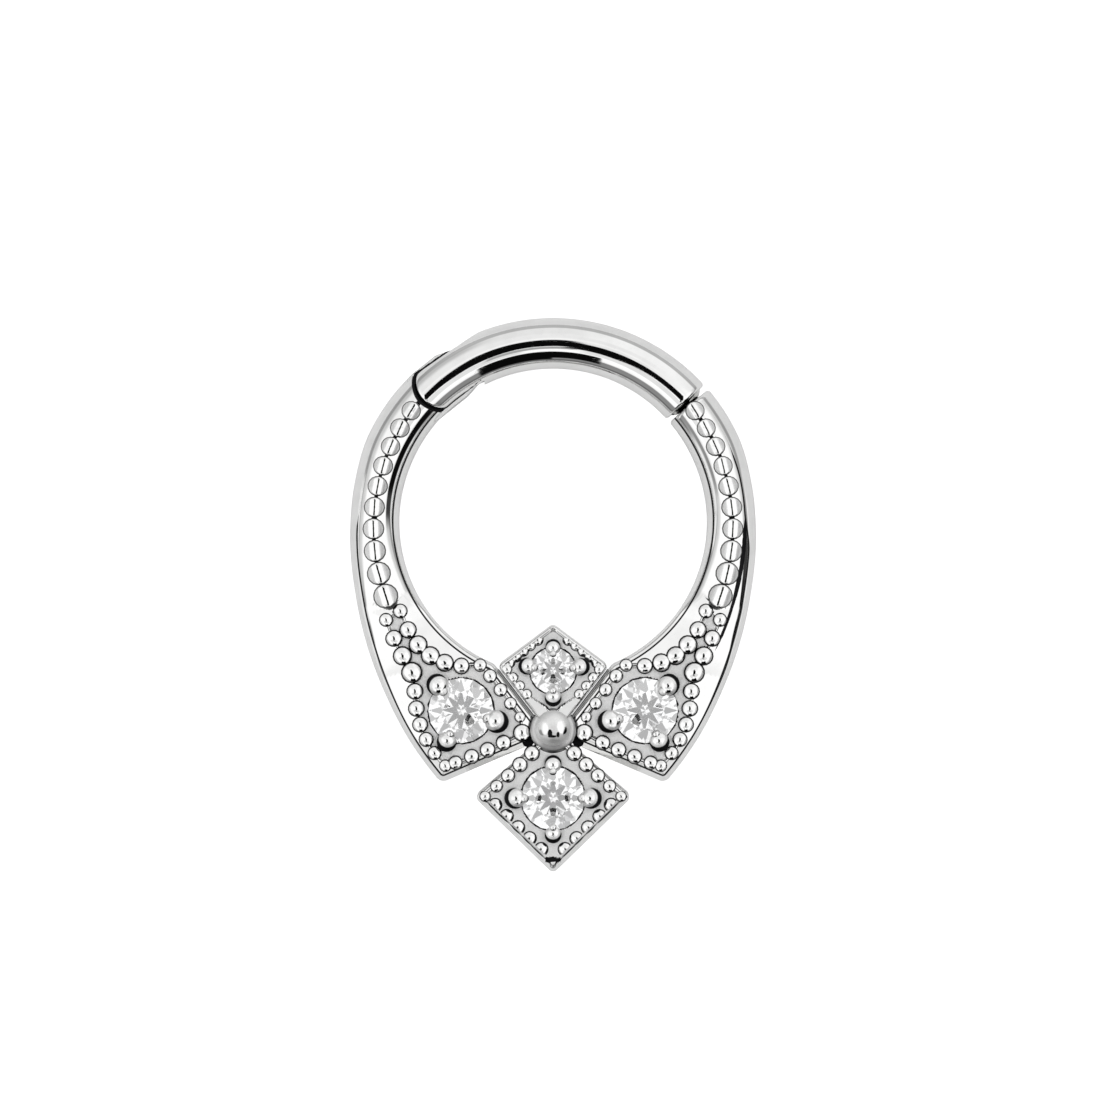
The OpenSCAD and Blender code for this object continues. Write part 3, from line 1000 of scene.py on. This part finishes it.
def bead_tree():
    """Geometry Nodes: a bead on every point, turned to its row."""
    group = bpy.data.node_groups.new("Milgrain beads", "GeometryNodeTree")
    face = group.interface
    face.new_socket("Geometry", in_out="INPUT", socket_type="NodeSocketGeometry")
    for name, kind, default in (("Sides", "NodeSocketInt", 16), ("Rings", "NodeSocketInt", 12),
            ("Rim", "NodeSocketFloat", 18.0), ("Arch", "NodeSocketFloat", 0.7),
            ("Ball", "NodeSocketFloat", 0.0), ("Height", "NodeSocketFloat", 0.75),
            ("Clip", "NodeSocketFloat", 1.0), ("Rim shade", "NodeSocketFloat", 1.0),
            ("Flank", "NodeSocketFloat", 0.0),
            ("Wander", "NodeSocketFloat", 0.0), ("Seed", "NodeSocketInt", 3)):
        face.new_socket(name, in_out="INPUT", socket_type=kind).default_value = default
    face.new_socket("Material", in_out="INPUT", socket_type="NodeSocketMaterial")
    face.new_socket("Geometry", in_out="OUTPUT", socket_type="NodeSocketGeometry")
    t = Tree(group)
    given = t.add("NodeGroupInput").outputs
    ball = t.add("GeometryNodeMeshUVSphere", {"Segments": given["Sides"], "Rings": given["Rings"],
        "Radius": 1.0}).outputs["Mesh"]
    x, y, z = t.add("ShaderNodeSeparateXYZ", {0: t.add("GeometryNodeInputPosition").outputs[0]}).outputs
    even_reach = t.math("SQRT", t.plus(t.times(x, x), t.times(y, y)))
    reach = t.minus(1.0, t.math("POWER", t.math("MAXIMUM", t.minus(1.0, even_reach), 0.0), 1.5))
    spread = t.math("DIVIDE", reach, t.math("MAXIMUM", even_reach, 0.001))
    x, y = t.math("MINIMUM", t.times(x, spread), given["Clip"]), t.times(y, spread)
    outside_rim = t.minus(1.0, t.math("POWER", reach, given["Rim"]))
    rim = t.math("SQRT", t.math("MAXIMUM", outside_rim, 0.0))
    off_ridge = t.plus(t.times(x, x), t.times(t.times(y, y), given["Ball"]))
    arch_sine = t.times(off_ridge, t.times(given["Arch"], given["Arch"]))
    cosine = t.math("SQRT", t.math("MAXIMUM", t.minus(1.0, arch_sine), 0.0))
    drop = t.math("DIVIDE", t.minus(1.0, cosine), given["Arch"])
    crest = t.times(rim, t.minus(given["Height"], drop))
    raised = t.times(crest, t.math("SIGN", z))
    shape = t.vector(x=x, y=y, z=raised)

    def stored(geometry, name, value):
        """A mask on the bead's points."""
        return t.add("GeometryNodeStoreNamedAttribute", {"Geometry": geometry, "Name": name,
            "Value": value}, data_type="FLOAT", domain="POINT").outputs[0]

    def named(name):
        return t.add("GeometryNodeInputNamedAttribute", {"Name": name}, data_type="FLOAT").outputs[0]

    def random(low, high):
        return t.add("FunctionNodeRandomValue", {2: low, 3: high, "Seed": given["Seed"]},
            data_type="FLOAT").outputs[1]

    # Painted shade: darker towards each bead's foot, a dark ring round its rim
    rim_shaded = stored(ball, "painted_shade", t.times(reach, given["Rim shade"]))
    matt = stored(rim_shaded, "satin", t.times(t.math("ABSOLUTE", x), given["Flank"]))
    shaped = t.add("GeometryNodeSetPosition", {"Geometry": matt, "Position": shape}).outputs[0]
    size, heading = named("bead_radius"), named("heading")
    wander = given["Wander"]
    change = random(t.minus(1.0, wander), t.plus(1.0, wander))
    other = random(t.times(wander, -3.0), t.times(wander, 3.0))
    turned = t.vector(z=t.plus(heading, other))
    scale = t.vector(x=t.times(size, change), y=size, z=size)
    beads = t.add("GeometryNodeInstanceOnPoints", {"Points": given["Geometry"], "Instance": shaped,
        "Rotation": turned, "Scale": scale}).outputs[0]
    real = t.add("GeometryNodeRealizeInstances", {"Geometry": beads}).outputs[0]
    rounded_off = t.add("GeometryNodeSetShadeSmooth", {"Geometry": real}).outputs[0]
    painted = t.add("GeometryNodeSetMaterial", {"Geometry": rounded_off,
        "Material": given["Material"]}).outputs[0]
    t.add("NodeGroupOutput", {"Geometry": painted})
    return group


def grow_beads(obj, ball, arch, clip, outline, flank, beads):
    """Puts the beads on a cloud's points, and keeps the result as a plain mesh."""
    tree = bpy.data.node_groups.get("Milgrain beads") or bead_tree()
    modifier = obj.modifiers.new("Beads", "NODES")
    modifier.node_group = tree
    ids = {s.name: s.identifier for s in tree.interface.items_tree if s.in_out == "INPUT"}
    values = {"Sides": beads.sides, "Rings": beads.rings, "Rim": beads.rim, "Ball": ball, "Clip": clip,
        "Rim shade": outline, "Flank": flank, "Arch": arch, "Height": beads.height,
        "Wander": beads.wander, "Seed": beads.seed, "Material": bpy.data.materials[STEEL]}
    for name, value in values.items():
        modifier[ids[name]] = value
    bake(obj)


def shader_group(name, inputs, outputs):
    group = bpy.data.node_groups.new(name, "ShaderNodeTree")
    for label, default in inputs:
        kind = "NodeSocketVector" if default is None else "NodeSocketFloat"
        socket = group.interface.new_socket(label, in_out="INPUT", socket_type=kind)
        if default is not None:
            socket.default_value = default
    for label in outputs:
        group.interface.new_socket(label, in_out="OUTPUT", socket_type="NodeSocketFloat")
    return group, Tree(group)


def polish_group():
    """Hand polish: a slow swell of the surface, hairline scratches and faint haze."""
    group, t = shader_group("Hand polish", (("Place", None), ("Swell", 1.0), ("Hairlines", 1.0)),
        ("Haze", "Height"))
    given = t.add("NodeGroupInput").outputs
    swell = t.noise(given["Place"], 0.9, 1.0)
    long = t.add("ShaderNodeMapping", {"Vector": given["Place"], "Rotation": (0.3, 0.2, 0.7),
        "Scale": (3.0, 60.0, 60.0)}).outputs[0]
    hairs = t.step(t.noise(long, 1.0, 3.0), 0.62, 0.72)
    haze = t.noise(given["Place"], 2.3, 4.0)
    height = t.plus(t.times(swell, given["Swell"]), t.times(t.times(hairs, given["Hairlines"]), -0.02))
    t.add("NodeGroupOutput", {"Haze": t.step(haze, 0.35, 0.7), "Height": height})
    return group


def grain_group():
    """Satin grain: the fine matt texture of a blasted surface."""
    group, t = shader_group("Satin grain", (("Place", None), ("Grain", 45.0)), ("Speckle", "Height"))
    given = t.add("NodeGroupInput").outputs
    fine = t.noise(given["Place"], given["Grain"], 2.0)
    coarse = t.noise(given["Place"], 7.0, 2.0)
    t.add("NodeGroupOutput", {"Speckle": fine, "Height": t.plus(fine, t.times(coarse, 0.6))})
    return group


def placed_group(t, name, maker, place):
    """A shader group's node, built once and fed with the place on the piece."""
    tree = bpy.data.node_groups.get(name) or maker()
    return t.add("ShaderNodeGroup", {"Place": place}, node_tree=tree).outputs


def plain_material(name):
    material = bpy.data.materials.new(name)
    material.use_nodes = True
    material.node_tree.nodes.clear()
    return material, Tree(material.node_tree)


def place_in_mm(t):
    """Object coordinates in millimetres."""
    place = t.add("ShaderNodeTexCoord").outputs["Object"]
    return t.add("ShaderNodeVectorMath", {0: place, "Scale": 1000.0}, operation="SCALE").outputs[0]


def metal_material(name, look, tone):
    """Polished metal that turns satin where a piece's satin mask says so, and takes painted shade from its
    other masks.
    """
    material, t = plain_material(name)
    place = place_in_mm(t)
    polish = placed_group(t, "Hand polish", polish_group, place)
    grain = placed_group(t, "Satin grain", grain_group, place)
    satin = t.step(t.attribute("satin"), 0.43, 0.57)
    painted_shade = t.attribute("painted_shade")
    bright, hazy = ((*[c * tone * share for c in look.metal], 1) for share in (1, 0.95))
    matt, matt_dark = ((*[c * tone * share for c in look.field], 1) for share in (1, 0.87))
    metal = t.mix(polish["Haze"], bright, hazy)
    field = t.mix(t.step(grain["Speckle"], 0.35, 0.65), matt_dark, matt)
    colour = t.mix(satin, metal, field)
    # Painted shade: a dark line at a set distance from the band's edge, and dark colour where a piece's shade
    # mask is high
    to_shade_line = t.math("ABSOLUTE", t.minus(t.attribute("edge"), look.shade_line_at / MM))
    shade_line = t.step(to_shade_line, 0.3 * look.shade_line_w / MM, 0.6 * look.shade_line_w / MM, 1.0, 0.0)
    edge = t.math("MAXIMUM", shade_line, t.step(painted_shade, look.painted_shade_low, look.painted_shade_high))
    colour = t.mix(edge, colour, SHADE_COLOUR)
    shine = t.blend(polish["Haze"], look.gloss, look.gloss + 0.03)
    rough = t.blend(satin, shine, look.satin)
    rough = t.blend(edge, rough, 0.4)
    height = t.blend(satin, polish["Height"], grain["Height"])
    relief = t.blend(satin, look.swell, look.grain)
    bump = t.add("ShaderNodeBump", {"Height": t.times(height, relief), "Strength": 1.0, "Distance": 1.0})
    shader = t.add("ShaderNodeBsdfPrincipled", {"Base Color": colour, "Metallic": 1.0,
        "Roughness": rough, "Normal": bump.outputs[0]})
    t.add("ShaderNodeOutputMaterial", {"Surface": shader.outputs[0]})
    return material


def stone_material(name, look):
    """Clear cut stone with a barely hazy polish, and a painted grey glow after several glossy bounces."""
    material, t = plain_material(name)
    polish = placed_group(t, "Hand polish", polish_group, place_in_mm(t))
    tint = t.mix(polish["Haze"], (1, 1, 1, 1), (0.985, 0.99, 1, 1))
    rough = t.blend(polish["Haze"], 0.0, 0.012)
    # Painted light: the stone glows grey where a ray has bounced more than three times
    deep = t.math("GREATER_THAN", t.add("ShaderNodeLightPath").outputs["Glossy Depth"], 3.5)
    glow = t.mix(deep, (0, 0, 0, 1), (0.36, 0.36, 0.36, 1))
    shader = t.add("ShaderNodeBsdfPrincipled", {"Base Color": tint, "Roughness": rough,
        "IOR": look.stone_ior, "Transmission Weight": 1.0, "Emission Color": glow, "Emission Strength": 1.0})
    t.add("ShaderNodeOutputMaterial", {"Surface": shader.outputs[0]})
    return material


# Settings


def length(name, description, millimetres):
    return FloatProperty(name=name, description=description, default=millimetres * MM, min=0,
        precision=5, subtype="DISTANCE", unit="LENGTH")


def number(name, description, default, low=0, high=1, subtype="NONE"):
    return FloatProperty(name=name, description=description, default=default, min=low, max=high,
        subtype=subtype)


class RingBandSettings(bpy.types.PropertyGroup):
    """The cast band."""

    edge_w: length("Edge width", "Width of the rolled edge along the band", 0.34)
    edge_h: length("Edge depth", "Depth of the rolled edge", 0.38)
    field_depth: length("Field depth", "How far the satin fields lie below the polished face", 0.08)
    crown: number("Crown", "Slope of the flats away from the bead rows", 0.2, 0, 0.4)


class RingBeadSettings(bpy.types.PropertyGroup):
    """The rows of beads."""

    sides: IntProperty(name="Sides", description="Sides of each bead", default=16, min=10, max=16)
    rings: IntProperty(name="Rings", description="Rings of each bead", default=14, min=6, max=14)
    rim: number("Rim", "Steepness of a bead's rim, 2 for a ball", 30, 2, 40)
    arch: number("Arch", "Curve of a strand bead across its row, 0 for flat", 0.92, 0.05, 0.98)
    small_arch: number("Small arch", "Curve of the small beads' round tops", 0.68, 0.05, 0.98)
    height: number("Height", "Height of a bead as a share of its radius", 0.72, 0.3)
    wander: number("Wander", "Share by which bead widths differ", 0.03, 0, 0.1)
    seed: IntProperty(name="Seed", description="Seed of the small differences", default=5)


class RingLookSettings(bpy.types.PropertyGroup):
    """Colours and finish."""

    metal: FloatVectorProperty(name="Metal", description="Colour of the polished metal", size=3,
        subtype="COLOR", default=(0.87, 0.87, 0.865), min=0, max=1)
    field: FloatVectorProperty(name="Field", description="Colour of the satin fields", size=3,
        subtype="COLOR", default=(0.9, 0.9, 0.895), min=0, max=1)
    gloss: number("Polish", "Roughness of the polished metal", 0.03, subtype="FACTOR")
    satin: number("Satin", "Roughness of the satin fields", 0.42, subtype="FACTOR")
    swell: length("Swell", "Height of the polish's slow swell", 0.004)
    grain: length("Grain", "Height of the satin grain", 0.004)
    # Thresholds of the painted shade at beads' feet, seat lips, slot ends, claws' far sides and of dark
    # painted reflections
    painted_shade_low: number("Painted shade start", "Where a bead's dark foot fades out", 0.88)
    painted_shade_high: number("Painted shade end", "Where a bead's foot is darkest", 0.96)
    # The engraved line is painted shade: a dark line in the colour, with no groove in the shape
    shade_line_at: length("Shade line place", "Distance of the fine engraved line from the band's edge", 0.14)
    shade_line_w: length("Shade line width", "Width of the fine engraved line", 0.05)
    stone_ior: number("Stone index", "Refractive index of the stones", 2.2, 1.3, 2.6)


class RingStageSettings(bpy.types.PropertyGroup):
    """Floor, light and camera."""

    lens: number("Lens", "Focal length in millimetres", 200, 20, 1000)
    view_w: length("View width", "Width of the view at the ring's face", 28.906)
    tent: number("Tent", "Brightness of the tent's top", 1.2, 0, 5)
    walls: number("Walls", "Brightness of the tent's walls", 0.74, 0, 5)


class RingSettings(bpy.types.PropertyGroup):
    """All settings of the ring."""

    band: PointerProperty(name="Band", description="Sizes of the cast band", type=RingBandSettings)
    beads: PointerProperty(name="Beads", description="Sizes of the beads", type=RingBeadSettings)
    look: PointerProperty(name="Look", description="Colours and finish", type=RingLookSettings)
    stage: PointerProperty(name="Stage", description="Floor, light and camera", type=RingStageSettings)


# Operators


class RingBuildMaterials(bpy.types.Operator):
    """Makes the metals and the stone's glass"""

    bl_idname = "ring.build_materials"
    bl_label = "Make materials"

    def execute(self, context):
        look = context.scene.ring.look
        metal_material(STEEL, look, 1.0)
        # The darker copy of the steel is painted shade for parts that lie in shadow
        metal_material(SHADED_STEEL, look, 0.8)
        stone_material(STONE, look)
        return {"FINISHED"}


class RingBuildBand(bpy.types.Operator):
    """Builds the cast band with its two shields and its hinge tongue"""

    bl_idname = "ring.build_band"
    bl_label = "Build band"

    def execute(self, context):
        sizes = context.scene.ring.band
        near, far = band_half(sizes, True), mirrored(band_half(sizes, False))
        pin_hole_r, slot_r, slot_low, slot_high = 0.28, 0.17, 0.1, 1.1
        pin_hole = disc(pin_hole_r, -1, 3, PIN, 48)
        for name, part, cutters in (
                ("band_left", near, [seat(SIDE)]),
                ("band_right", far, [mirrored(seat(SIDE)), latch_dimple()])):
            obj = new_object(name, *part)
            cut(obj, *cutters)
            # Painted shade at the seat's lip, the slot end and the bar's socket, a painted dark reflection
            # beside the right arm's beads, and a painted shade line near the edge
            finish_piece(obj, {
                "satin": lambda p: shield_field(p[:, :2], 0.03)[0] * (p[:, 2] > 1.0),
                "edge": rail_distance,
                "painted_shade": lambda p: np.max([near_seat(p, SIDE), slot_shade(p), socket_shade(p),
                    arm_shade(p)], axis=0)})
        obj = new_object("hinge_tongue", *tongue())
        cut(obj, pin_hole)
        # Painted shade on the tongue beside and round the bar
        finish_piece(obj, {"satin": even(1), "painted_shade": hinge_shade})
        # Dark discs at the slot ends stand in for the shade there, and the groove floor is half darkened with
        # painted shade
        for name, half, masks in (
                ("slot_shadow_discs", disc(slot_r, slot_low, slot_high, SLOT_END, 32), {"painted_shade": even(1)}),
                ("groove_floor", web(), {"satin": even(1), "painted_shade": even(0.92)})):
            obj = new_object(name, *join(half, mirrored(half)))
            outward(obj.data)
            finish_piece(obj, masks, SHADED_STEEL)
        return {"FINISHED"}


class RingBuildKites(bpy.types.Operator):
    """Builds the two kite-shaped plates of the cluster"""

    bl_idname = "ring.build_kites"
    bl_label = "Build kites"

    def execute(self, context):
        depth = context.scene.ring.band.field_depth / MM
        for name, tips, face, edge, rim, stone in (
                ("upper_kite", UPPER_TIPS, UPPER_FACE, (0.07, 0.12), (0.13, 0.16, 0.22), UPPER),
                ("lower_kite", LOWER_TIPS, LOWER_FACE, (0.09, 0.16), (0.16, 0.14, 0), LOWER)):
            slant = float(stone is LOWER)
            obj = new_object(name, *kite(tips, face, edge, rim, depth, slant))
            cut(obj, seat(stone))
            # Painted shade round the seat's lip, at the slot ends, in the lower tip's corner and along a line
            # inside the rims
            finish_piece(obj, {
                "satin": lambda p, tips=tips, rim=rim: kite_field(p[:, :2], tips, rim) * (p[:, 2] > 1.2),
                "painted_shade": lambda p, tips=tips, rim=rim, stone=stone: np.max([near_seat(p, stone),
                    slot_shade(p), corner_shade(p), rim_line(p, tips, rim)], axis=0)})
        return {"FINISHED"}


class RingBuildBar(bpy.types.Operator):
    """Builds the round bar that swings open"""

    bl_idname = "ring.build_bar"
    bl_label = "Build bar"

    def execute(self, context):
        slot_r, half_slot, hole_r, hole_top = 1.1, 0.33, 0.265, 1.18
        slot = disc(slot_r, MID_Z - half_slot, MID_Z + half_slot, PIN, 120)
        obj = new_object("bar", *bar())
        cut(obj, slot, disc(hole_r, -1, hole_top, PIN, 48))
        # Painted shade along the bar's hinge end
        finish_piece(obj, {"painted_shade": bar_line}, body="segment", node="hinge_segment")
        return {"FINISHED"}


class RingBuildBeads(bpy.types.Operator):
    """Builds the bead strand down the band and the milgrain rows of the cluster"""

    bl_idname = "ring.build_beads"
    bl_label = "Build beads"

    def execute(self, context):
        beads = context.scene.ring.beads
        # Each row with the height of its beads' middles
        strand = [(*strand_points(10), BAND_H - 0.04)]
        milgrain, scallops = ([(*row_points(row), z) for rows, z in groups for row in rows] for groups in (
            ((SHIELD_ROWS, BAND_H - 0.06), (LOWER_ROWS, LOWER_FACE - 0.07), (UPPER_ROWS, UPPER_FACE - 0.08)),
            ((LOWER_SCALLOPS, LOWER_FACE - 0.13), (UPPER_SCALLOPS, UPPER_FACE - 0.11))))
        # Each form: ball, arch, clip, strength of the painted shade at the beads' rims, satin flanks
        for name, some, *form in (
                ("strand_beads", strand, 0.0, beads.arch, 1.0, 1.02, 1.2),
                ("milgrain_beads", milgrain, 0.72, beads.small_arch, 1.0, 1.1, 0.8),
                ("scallops", scallops, 1.0, beads.small_arch, 0.12, 1.14, 0.0)):
            obj = bead_cloud(name, some)
            grow_beads(obj, *form, beads)
            finish_piece(obj, {}, sharp=80)
        return {"FINISHED"}


class RingBuildClaws(bpy.types.Operator):
    """Builds the claws that hold the stones"""

    bl_idname = "ring.build_claws"
    bl_label = "Build claws"

    def execute(self, context):
        obj = new_object("claws", *join(claws_of(SIDE, (1, -1)), claws_of(LOWER), claws_of(UPPER)))
        outward(obj.data)
        # Painted shade on each claw's side away from the stone
        finish_piece(obj, {"satin": lambda p: np.clip(0.8 * claw_shade(p), 0, 1),
            "painted_shade": lambda p: np.clip(claw_shade(p), 0, 1)}, sharp=80)
        return {"FINISHED"}


class RingBuildBall(bpy.types.Operator):
    """Builds the centre ball on its collar"""

    bl_idname = "ring.build_ball"
    bl_label = "Build ball"

    def execute(self, context):
        collar_r, foot, low, rise, shoulder = 0.61, 0.15, 1.45, 0.13, 0.16
        ball_z, ball_h, ball_r, arch = 1.57, 0.5, 0.46, 0.72
        steps = np.radians(np.linspace(0, 84, 13))
        profile = [(0, foot), (collar_r - 0.06, foot), (collar_r, foot + 0.1)]
        profile += [(collar_r - shoulder * (1 - math.cos(a)), low + rise * math.sin(a)) for a in steps]
        collar = lathe(profile + [(0, low + rise)], HUB, 96)
        ball = dome(np.array(HUB) + [0, 0.03], ball_z, ball_h, ball_r, arch, np.array([0, 0.04]), 0.1, 96, 30)
        obj = new_object("centre_ball", *join(collar, ball))
        outward(obj.data)
        # A painted dark reflection on the ball, and painted shade on the collar's lower side and foot
        finish_piece(obj, {"satin": ball_satin, "painted_shade": ball_shade}, sharp=75)
        return {"FINISHED"}


class RingDressNodes(bpy.types.Operator):
    """Gives the stones their glass and the hinge pin its metal"""

    bl_idname = "ring.dress_nodes"
    bl_label = "Dress stones and pin"

    def execute(self, context):
        for name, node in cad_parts.items():
            if name.startswith("stone_") or name == "hinge_pin":
                # The hinge pin takes the darker, shaded copy of the steel
                material = bpy.data.materials[STONE if name.startswith("stone_") else SHADED_STEEL]
                node.data.materials.clear()
                node.data.materials.append(material)
        return {"FINISHED"}


class RingBuildStage(bpy.types.Operator):
    """Builds the pale floor, the studio's light and the camera"""

    bl_idname = "ring.build_stage"
    bl_label = "Build stage"

    def execute(self, context):
        stage = context.scene.ring.stage
        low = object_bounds()[0]
        half = 1.5
        floor = new_object("floor", [(-half, -half, low.z), (half, -half, low.z), (half, half, low.z),
            (-half, half, low.z)], [(0, 1, 2, 3)])
        floor.data.materials.append(floor_material())
        floor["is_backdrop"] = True
        context.scene.world = studio_world(stage)
        camera = bpy.data.cameras.new("camera")
        camera.lens, camera.sensor_width = stage.lens, 36
        camera.clip_start, camera.clip_end = 0.005, 20
        holder = bpy.data.objects.new("camera", camera)
        face_z, centre_x, centre_y = BAND_H * MM, 0.05 * MM, (CENTRE_Y - 0.87) * MM
        holder.location = (centre_x, centre_y, face_z + stage.view_w * stage.lens / camera.sensor_width)
        context.scene.collection.objects.link(holder)
        context.scene.camera = holder
        context.scene.view_settings.view_transform = "Standard"
        return {"FINISHED"}


def floor_material():
    """A white floor that keeps only a faint shadow, and looks grey in the metal."""
    material, t = plain_material("Floor paper")
    fibre = t.noise(place_in_mm(t), 0.4, 3.0)
    paper = t.mix(fibre, (0.8, 0.8, 0.8, 1), (0.84, 0.84, 0.84, 1))
    path = t.add("ShaderNodeLightPath").outputs
    seen = path["Is Camera Ray"]
    glow = t.blend(seen, t.blend(path["Is Transmission Ray"], 0.12, 0.9), 1.0)
    shade = t.mix(seen, paper, (0.35, 0.35, 0.35, 1))
    shader = t.add("ShaderNodeBsdfPrincipled", {"Base Color": shade, "Roughness": 0.9,
        "Emission Color": (1, 1, 1, 1), "Emission Strength": glow})
    t.add("ShaderNodeOutputMaterial", {"Surface": shader.outputs[0]})
    return material


def studio_world(stage):
    """A white tent with dark gaps and cards, drawn by direction."""
    world = bpy.data.worlds.new("Studio tent")
    world.use_nodes = True
    world.node_tree.nodes.clear()
    t = Tree(world.node_tree)
    way = t.add("ShaderNodeSeparateXYZ", {0: t.add("ShaderNodeTexCoord").outputs["Generated"]}).outputs
    across = t.math("DEGREES", t.math("ARCTAN2", way[0], way[2]))
    along = t.math("DEGREES", t.math("ARCTAN2", way[1], way[2]))
    heading = t.math("DEGREES", t.math("ARCTAN2", way[1], way[0]))
    down = t.math("DEGREES", t.math("ARCCOSINE", way[2]))

    def panel(turn_low, turn_high, turn_soft, low, high, soft):
        """A panel of the tent between two bearings and two angles down from overhead."""
        return t.times(t.window(heading, turn_low, turn_high, turn_soft), t.window(down, low, high, soft))

    def card(x0, x1, y0, y1, soft):
        return t.times(t.window(across, x0, x1, soft), t.window(along, y0, y1, soft))

    light = t.step(down, 44, 64, stage.tent, stage.walls)
    light = t.blend(t.window(heading, 48, 150, 20), light, t.times(light, 0.79))
    # Brightness, bearings and their softness, angles down from overhead and their softness
    for bright, *place in (
            (0.36, -181, 181, 0.1, 72, 88, 4),
            (0.28, -145, -35, 6, 55, 78, 2),
            (0.15, -145, -35, 6, 76, 84, 2),
            (0.003, -89.5, -63.5, 0.6, 37, 77, 1),
            (0.003, -106.5, -88, 0.6, 37, 69, 1),
            (0.68, -140, -40, 6, 85, 97, 1.5),
            (0.9, 42, 112, 8, 44, 73, 3),
            (1.05, 40, 78, 10, 38, 71, 3),
            (0.52, 42, 126, 8, 74, 88, 3),
            (1.05, 25, 155, 8, 17.8, 24.8, 1),
            (0.05, -44, 3, 4, 56, 80, 1.5),
            (0.004, -44, -9, 3, 54, 80, 1.5),
            (0.88, -150, -100, 3, 15, 34, 1),
            (0.88, -80, -30, 3, 15, 34, 1),
            (0.42, -98, -66, 1, 14, 24, 1.5),
            (0.95, -34, 12, 5, 83, 95, 2),
            (0.95, -181, -150, 5, 74, 95, 2),
            (0.95, 168, 181, 2, 76, 95, 2),
            (0.3, -170, -142, 5, 57, 71, 2)):
        light = t.blend(panel(*place), light, bright)
    for place in ((-7.5, -1.2, -19, 15.5, 0.6), (-2.4, 1.5, -12, 15.5, 0.6), (0.3, 8.5, -12, 8, 0.6)):
        light = t.blend(card(*place), light, 0.003)

    # What the stones see: brightness, then a card's place and softness
    inner = t.step(down, 60, 80, 1.25, 0.85)
    for bright, *place in ((0.5, 12, 42, -12, 58, 3), (0.55, -48, -16, -60, -4, 3), (0.42, -34, 8, 22, 50, 3),
            (0.5, 20, 70, -70, -30, 3), (0.15, -70, -62, 0, 22, 2), (0.15, 52, 60, 20, 44, 2),
            (0.5, -6, 6, -14, 6, 3)):
        inner = t.blend(card(*place), inner, bright)
    through = t.add("ShaderNodeLightPath").outputs["Is Transmission Ray"]
    background = t.add("ShaderNodeBackground", {"Color": (1, 1, 1, 1),
        "Strength": t.blend(through, light, inner)})
    t.add("ShaderNodeOutputWorld", {"Surface": background.outputs[0]})
    return world


class RingPanel(bpy.types.Panel):
    """Lists the ring's pieces and settings"""

    bl_idname = "VIEW3D_PT_ring"
    bl_label = "Hinged segment ring"
    bl_space_type = "VIEW_3D"
    bl_region_type = "UI"
    bl_category = "Ring"

    def draw(self, context):
        settings = context.scene.ring
        for part in ("band", "beads", "look", "stage"):
            box = self.layout.box()
            group = getattr(settings, part)
            for name in type(group).__annotations__:
                box.prop(group, name)
        for operator in OPERATORS:
            self.layout.operator(operator.bl_idname)


SETTINGS = (RingBandSettings, RingBeadSettings, RingLookSettings, RingStageSettings, RingSettings)
OPERATORS = (RingBuildMaterials, RingBuildBand, RingBuildKites, RingBuildBar, RingBuildBeads,
    RingBuildClaws, RingBuildBall, RingDressNodes, RingBuildStage)


def register():
    for item in (*SETTINGS, *OPERATORS, RingPanel):
        bpy.utils.register_class(item)
    bpy.types.Scene.ring = PointerProperty(name="Ring", description="Settings of the ring", type=RingSettings)


def unregister():
    del bpy.types.Scene.ring
    for item in reversed((*SETTINGS, *OPERATORS, RingPanel)):
        bpy.utils.unregister_class(item)


def main():
    register()
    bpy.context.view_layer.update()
    for operator in OPERATORS:
        group, name = operator.bl_idname.split(".")
        getattr(getattr(bpy.ops, group), name)()


if __name__ == "__main__":
    main()
